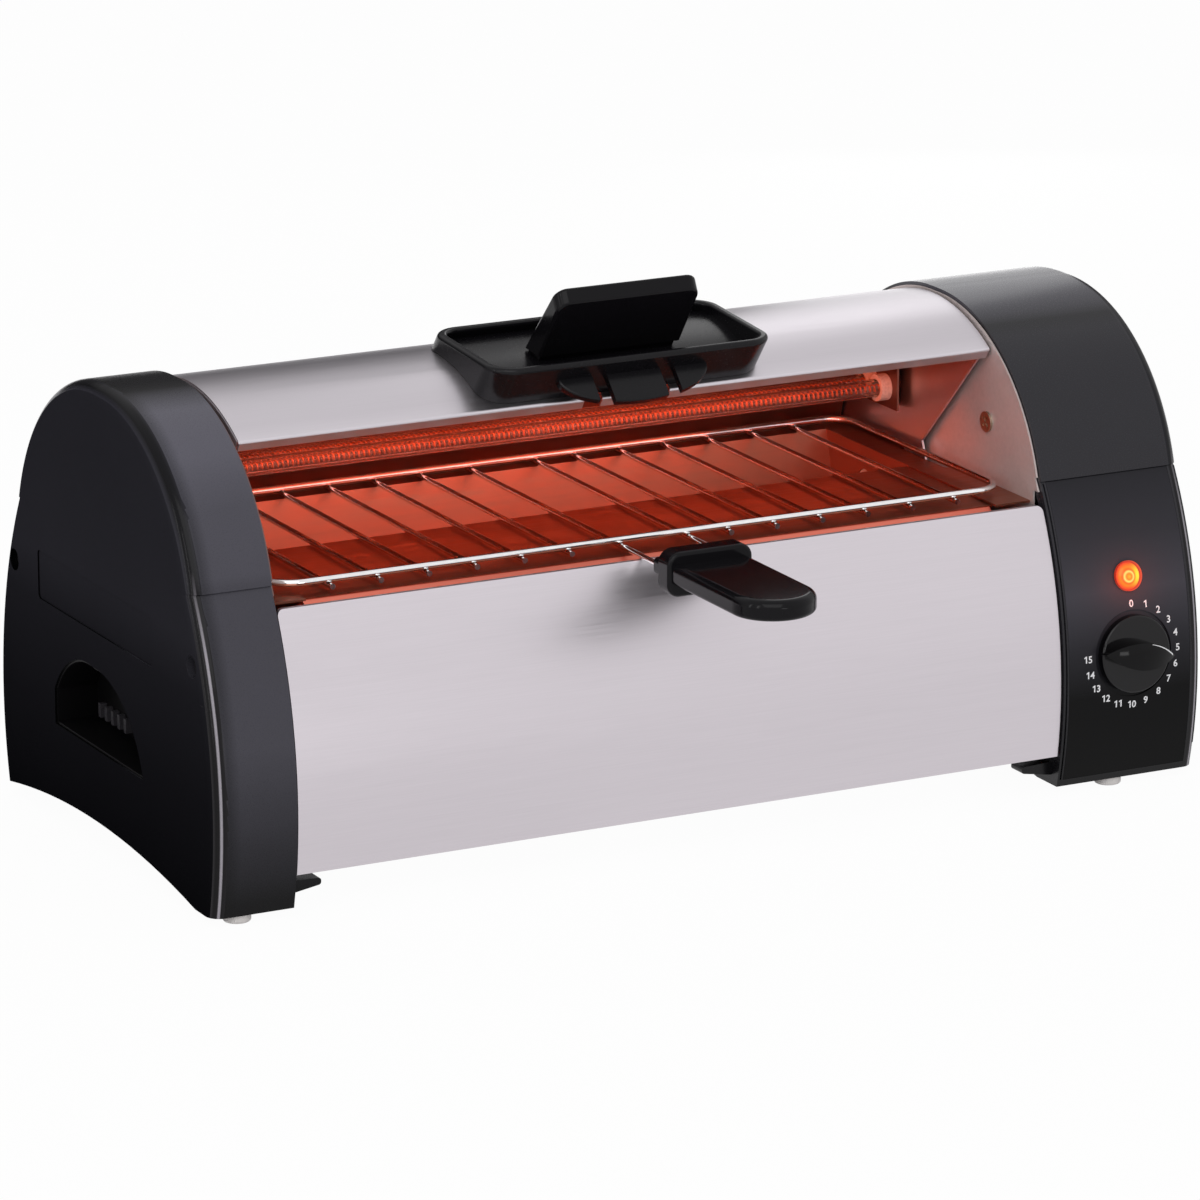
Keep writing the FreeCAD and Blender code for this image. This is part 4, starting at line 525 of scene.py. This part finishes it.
def dress_caps():
    """The end caps: satin outside with painted light and shade, a rim with a painted highlight, matte sides
    in painted shade, and a grip pocket in painted shade with ribs in painted light.
    """
    dress(["left_end_cap"], graded("cap_black_painted_shading", CAP_PAINTED_SHADING, rough=(0.24, 0.34), specular=0.15,
                                   rim_x=CAD_BOX[1][0]))
    # The right cap gets a darker copy of the caps' black as painted shade, with a painted dark line and a
    # lighter painted band at its top
    dress(["right_end_cap"], graded("right_cap_black_painted_shading", RIGHT_CAP_PAINTED_SHADING, rough=(0.20, 0.30),
                                    specular=0.24))
    # The caps' outer sides get a darker copy of the caps' black, as painted shade
    side = graded("cap_side_matte_painted_shade", SIDE_PAINTED_SHADE, rough=(0.45, 0.60), specular=0.0)
    edge = cap_edge("cap_edge_painted_highlight", CAD_BOX[1][0])
    # Painted shade darkens the grip pocket, and painted light lightens its ribs
    pocket = moulded("grip_pocket_painted_shade", (0.003, 0.0028, 0.0032), rough=(0.4, 0.5), specular=0.05)
    ribs = moulded("pocket_rib_painted_light", (0.045, 0.042, 0.048), rough=(0.25, 0.35), specular=0.4)
    left_low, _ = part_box("left_end_cap")
    _, right_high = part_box("right_end_cap")
    for name, face_x in (("left_end_cap", left_low.x), ("right_end_cap", right_high.x)):
        split_faces(name, side, lambda c, n: (abs(c.x - face_x) < SIDE_DEPTH_M
                                              and abs(n.x) > SIDE_FACING))
        split_faces(name, edge, lambda c, n: (abs(c.x - face_x) < RIM_DEPTH_M
                                              and RIM_FACING < abs(n.x) <= SIDE_FACING))
        for finish, depths, reach in ((pocket, POCKET_DEPTHS_M, POCKET_REACH),
                                      (ribs, RIB_DEPTHS_M, RIB_REACH)):
            split_faces(name, finish, lambda c, n: (depths[0] < abs(c.x - face_x) < depths[1]
                                                    and within(c, *reach)))


def dress_blacks():
    """The control panel, the knob, the tray and the handles."""
    # Painted light and shade on the control panel: darkest low down, lightest near 78 mm
    dress(["control_panel"], graded("panel_black", PANEL_PAINTED_SHADING, rough=(0.18, 0.26), specular=0.12,
                                    scale=POLISHED_GRAIN, bump=0.05))
    dress(["grip_plate", "rack_handle", "crumb_tray_grip"],
          polished("gloss_black", GLOSS_BLACK, rough=(0.09, 0.16), specular=0.12))
    dress(["hood_tray"], polished("tray_black", GLOSS_BLACK, rough=(0.20, 0.28), specular=0.18))
    dress(["timer_knob"], polished("knob_black", KNOB_BLACK, rough=(0.06, 0.11), specular=0.30))
    # The knob's grip bar gets a darker copy of the knob's black as painted shade, with a lower specular
    # level
    grip = polished("knob_grip_painted_shade", KNOB_GRIP_PAINTED_SHADE, rough=(0.06, 0.10), specular=0.16, bump=0.02)
    knob_frame = nodes["timer_knob"].matrix_world
    seat = place(DIAL_X, -flank_y(DIAL_Z), DIAL_Z)
    proud_m = 0.0025
    split_faces("timer_knob", grip, lambda c, n: (knob_frame @ c - seat).dot(dial_axis()) > proud_m)
    dress(["cap_screws"], moulded("screw_black", (0.012, 0.0115, 0.013), rough=(0.35, 0.45), specular=0.3))
    dress(["hood_stop_pads", "lamp_socket", "cord_inlet"],
          moulded("pad_rubber", (0.02, 0.02, 0.02), rough=(0.6, 0.8), specular=0.3, bump=0.4))


def dress_sheets():
    """Covers, hood, walls, reflectors and plain sheet."""
    # The covers' steel is painted a little lighter low down, as painted light
    dress(["front_cover", "rear_cover"],
          brushed("stainless_brushed", COVER_STEEL, rough=(0.30, 0.40), streak=90, bump=0.08,
                  contrast=0.03, foot=(1.04, 15, 105)))
    # The hood's steel is painted much lighter below 155 mm, towards its front edge, as painted light
    dress(["hood_sheet", "left_hood_plate", "right_hood_plate"],
          brushed("stainless_hood", HOOD_STEEL, rough=(0.28, 0.38), streak=90, bump=0.08,
                  contrast=0.03, foot=(1.36, 155, 168)))
    dress(["base_plate", "heat_shield", "crumb_tray"],
          brushed("plain_steel", (0.50, 0.50, 0.51), rough=(0.30, 0.45), streak=30, bump=0.2))
    # Steel of the side walls, tinted warm as painted glow of the heaters
    dress(["left_side_wall", "right_side_wall"],
          brushed("wall_sheet_painted_glow", (0.66, 0.57, 0.55), rough=(0.42, 0.56), streak=18, bump=0.15,
                  metallic=0.55))
    # The left wall's edge faces get a darker, redder copy of the wall's sheet, as painted shade
    rim = brushed("wall_rim_painted_shade", (0.16, 0.10, 0.09), rough=(0.4, 0.5), streak=18, bump=0.15)
    split_faces("left_side_wall", rim, lambda c, n: abs(n.x) < 0.5)
    # The lower reflector's sheet is painted dark and red, as painted shade and painted glow of the heaters
    dress(["lower_reflector"],
          brushed("reflector_painted_glow", (0.38, 0.15, 0.095), rough=(0.34, 0.50), streak=18, bump=0.2))
    # The lip's faces that look up and forward are painted red, as painted glow of the heaters
    lip = brushed("lip_painted_glow", (0.72, 0.19, 0.13), rough=(0.34, 0.50), streak=18, bump=0.2)
    lip_foot = place(0, 0, 98).z
    split_faces("lower_reflector", lip, lambda c, n: c.z > lip_foot and n.z > 0.6 and n.y < -0.3)
    # The upper reflector's sheet is painted dark and red, as painted shade and painted glow of the heaters
    dress(["upper_reflector"],
          brushed("upper_reflector_painted_glow", (0.24, 0.115, 0.085), rough=(0.36, 0.50), streak=18,
                  bump=0.2))


def dress_fittings():
    """Wires, pins, screws, feet, and what lies inside the caps."""
    dress(["rack_frame", "rack_cross_wires"],
          brushed("chrome_wire", (0.80, 0.79, 0.79), rough=(0.06, 0.16), scale=300.0, bump=0.05))
    dress(["hood_pivot_pins", "pivot_nuts", "timer_shaft"],
          brushed("pin_steel", (0.55, 0.55, 0.56), rough=(0.22, 0.35), scale=200.0, bump=0.1))
    dress(["pivot_spacers"],
          brushed("spacer_brass", (0.62, 0.48, 0.24), rough=(0.25, 0.4), scale=200.0, bump=0.1))
    dress(["tray_screws", "base_screws", "timer_screws", "timer_bell", "thermal_cutout"],
          brushed("screw_zinc", (0.46, 0.46, 0.47), rough=(0.28, 0.42), scale=500.0, bump=0.1))
    dress(["wall_screws"],
          brushed("screw_brassy", (0.42, 0.33, 0.25), rough=(0.25, 0.40), scale=500.0, bump=0.1))
    dress(["feet"], moulded("foot_rubber", (0.66, 0.63, 0.62), rough=(0.4, 0.6), specular=0.4, bump=0.2))
    dress(["terminal_block"],
          moulded("terminal_white", (0.70, 0.68, 0.62), rough=(0.4, 0.55), specular=0.4))
    dress(["timer_body"], moulded("timer_case", (0.10, 0.10, 0.10), rough=(0.4, 0.55), specular=0.4))


def dress_heaters():
    """Tube holders, quartz tubes, glowing wire and the indicator lamp."""
    dress(["upper_tube_holders", "lower_tube_holders"], ceramic("ceramic", (0.72, 0.66, 0.58)))
    dress(["upper_quartz_tubes", "lower_quartz_tubes"], quartz_glass("quartz"))
    dress(["upper_heating_coils", "lower_heating_coils"], glowing_wire("heating_wire", HOT_ORANGE, 3.2))
    dress(["lamp_bulb"], glowing_wire("bulb_glass", (1.0, 0.55, 0.12), 3.0))
    lens_low, lens_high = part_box("lamp_lens")
    dress(["lamp_lens"], lamp_plastic("lens_orange", (lens_low + lens_high) / 2))


# Heating coils

def helix(name, start, end, material):
    """A wire coil between two points along X."""
    curve = bpy.data.curves.new(name, "CURVE")
    curve.dimensions = "3D"
    curve.bevel_depth = COIL_WIRE_M
    curve.bevel_resolution = 1
    curve.resolution_u = 1
    turns = (end - start).length / COIL_PITCH_M
    steps = int(turns * COIL_SIDES)
    spline = curve.splines.new("POLY")
    spline.points.add(steps)
    for index in range(steps + 1):
        share = index / steps
        angle = share * turns * 2 * math.pi
        point = start.lerp(end, share) + Vector((0, math.cos(angle), math.sin(angle))) * COIL_RADIUS_M
        spline.points[index].co = (*point, 1)
    coil = add_object(name, curve)
    curve.materials.append(material)
    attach(coil, "housing")
    return coil


def wind_coils():
    """The wound wires in the quartz tubes, in place of the solids' plain rods."""
    orange = bpy.data.materials["heating_wire"]
    for name, run, rods in (("upper_coil", UPPER_COILS, "upper_heating_coils"),
                            ("lower_coil", LOWER_COILS, "lower_heating_coils")):
        for index, y in enumerate(run["y"]):
            start, end = place(-run["end_x"], y, run["z"]), place(run["end_x"], y, run["z"])
            coil = helix(f"{name}_{index + 1}", start, end, orange)
            if index == 0:
                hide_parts(rods)


def light_chamber():
    """The red glow of the heaters in the chamber and in the trough below the rack."""
    for name, spot, aim, power in (("chamber_glow", place(0, -10, 150), place(0, 30, 95), 0.18),
                                   ("trough_glow", place(0, -38, 84), place(0, -86, 96), 0.36)):
        glow = area_light(name, spot, aim, size=0.26, power=power, colour=GLOW_RED, size_y=0.03,
                          hidden=True)
        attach(glow, "housing")


# Dial and lamp

def flank_y(z):
    """How far the curved panel stands in front of the drawing's origin at a height."""
    return math.sqrt(FLANK_RADIUS ** 2 - (z - FLANK_Z) ** 2) - FLANK_REACH


def dial_tilt():
    """How far the panel leans back at the dial's middle."""
    return math.asin((DIAL_Z - FLANK_Z) / FLANK_RADIUS)


def dial_axis():
    """The way the dial faces: square to the curved panel at its middle."""
    return Vector((0, -math.cos(dial_tilt()), math.sin(dial_tilt())))


def on_panel(x, up, proud):
    """A point of the dial's plan, in millimetres from its middle, laid on the curved panel."""
    z = DIAL_Z + up
    return place(DIAL_X + x, -flank_y(z) - proud, z)


def on_knob(x, y, proud):
    """A point on top of the knob's grip bar, its local Y along the bar towards the mark."""
    z = BAR_TOP - BAR_CROWN + math.sqrt(BAR_CROWN ** 2 - x * x - y * y) + proud
    across = x * math.cos(REST_TURN) + y * math.sin(REST_TURN)
    up = -x * math.sin(REST_TURN) + y * math.cos(REST_TURN)
    tilt = dial_tilt()
    return place(DIAL_X + across, -flank_y(DIAL_Z) + up * math.sin(tilt) - z * math.cos(tilt),
                 DIAL_Z + up * math.cos(tilt) + z * math.sin(tilt))


def face_front(mesh):
    for polygon in mesh.polygons:
        if polygon.normal.y > 0:
            polygon.flip()


def glyph_mesh(character, size):
    """One figure as a flat mesh: the 1 is an upright with a flag and no foot."""
    if character == "1":
        outline = [(0.27, 0.0), (0.41, 0.0), (0.41, 0.72), (0.31, 0.72), (0.10, 0.60), (0.10, 0.47),
                   (0.27, 0.55)]
        mesh = bpy.data.meshes.new("figure")
        mesh.from_pydata([(x * size, y * size, 0) for x, y in outline], [], [range(len(outline))])
        return mesh
    curve = bpy.data.curves.new("figure", "FONT")
    curve.body = character
    curve.size = size
    curve.offset = size * 0.020
    curve.resolution_u = 3
    probe = add_object("figure", curve)
    graph = bpy.context.evaluated_depsgraph_get()
    mesh = bpy.data.meshes.new_from_object(probe.evaluated_get(graph))
    bpy.data.objects.remove(probe)
    bpy.data.curves.remove(curve)
    return mesh


def dial_numbers(material):
    """The minutes 0 to 15 round the dial, printed upright on the panel."""
    ring, upper_ring = 20.0, 19.1
    height, advance, capital_share, proud = 2.65, 2.05, 0.70, 0.06
    build = bmesh.new()
    for minute in range(LAST_MINUTE + 1):
        turn = minute * MINUTE_TURN
        middle_x = ring * math.sin(turn) - 0.25 + 0.35 * math.cos(turn)
        middle_up = (upper_ring if math.cos(turn) > 0.01 else ring) * math.cos(turn)
        text = str(minute)
        for index, character in enumerate(text):
            part = glyph_mesh(character, height / capital_share)
            xs = [v.co.x for v in part.vertices]
            shift = (index - (len(text) - 1) / 2) * advance - (min(xs) + max(xs)) / 2
            for vertex in part.vertices:
                vertex.co = on_panel(middle_x + vertex.co.x + shift,
                                     middle_up + vertex.co.y - height / 2, proud)
            build.from_mesh(part)
            bpy.data.meshes.remove(part)
    bmesh.ops.remove_doubles(build, verts=build.verts, dist=1e-7)
    bmesh.ops.triangulate(build, faces=build.faces)
    bmesh.ops.recalc_face_normals(build, faces=build.faces)
    mesh = bpy.data.meshes.new("dial_numbers")
    build.to_mesh(mesh)
    build.free()
    numbers = add_object("dial_numbers", mesh)
    mesh.materials.append(material)
    face_front(mesh)
    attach(numbers, "housing")


def dial_pointer(material):
    """A painted highlight: a white line along the grip bar's upper edge, as far as the tip that points at
    the minutes.
    """
    start, end, count = 2.5, 14.0, 14
    inset, thin, widening, past_middle, proud = 0.25, 0.20, 0.45, 0.35, 0.05
    half = BAR_WIDE / 2
    curve = (BAR_HALF ** 2 + half ** 2) / (2 * half)
    points = []
    for index in range(count + 1):
        y = start + (end - start) * index / count
        edge = math.sqrt(curve ** 2 - y * y) - (curve - half) - inset
        width = thin + widening * index / count
        points.append(on_knob(-max(edge, 0.0), y, proud))
        points.append(on_knob(-max(edge - width, -past_middle), y, proud))
    mesh = bpy.data.meshes.new("dial_pointer")
    mesh.from_pydata(points, [], [(2 * i, 2 * i + 1, 2 * i + 3, 2 * i + 2) for i in range(count)])
    mesh.materials.append(material)
    line = add_object("dial_pointer", mesh)
    face_front(mesh)
    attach(line, "timer_dial")


def lamp_halo():
    """The little light that the indicator lamp throws on the panel round it."""
    x, up = LAMP_X - DIAL_X, LAMP_Z - DIAL_Z
    halo = area_light("lamp_halo", on_panel(x, up, 13.0), on_panel(x, up - 1.0, 0.0), size=0.010,
                      power=0.0022, colour=(1.0, 0.10, 0.03), hidden=True)
    halo.visible_glossy = False
    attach(halo, "housing")


# The scene

make_camera()
make_world()
make_floor()
bpy.context.scene.view_settings.view_transform = "Standard"
studio_lights()
dress_caps()
dress_blacks()
dress_sheets()
dress_fittings()
dress_heaters()
wind_coils()
light_chamber()
lamp_halo()
dial_pointer(paint_material("painted_highlight_white", (0.80, 0.80, 0.82)))
dial_numbers(paint_material("dial_print_white", (0.86, 0.86, 0.88)))
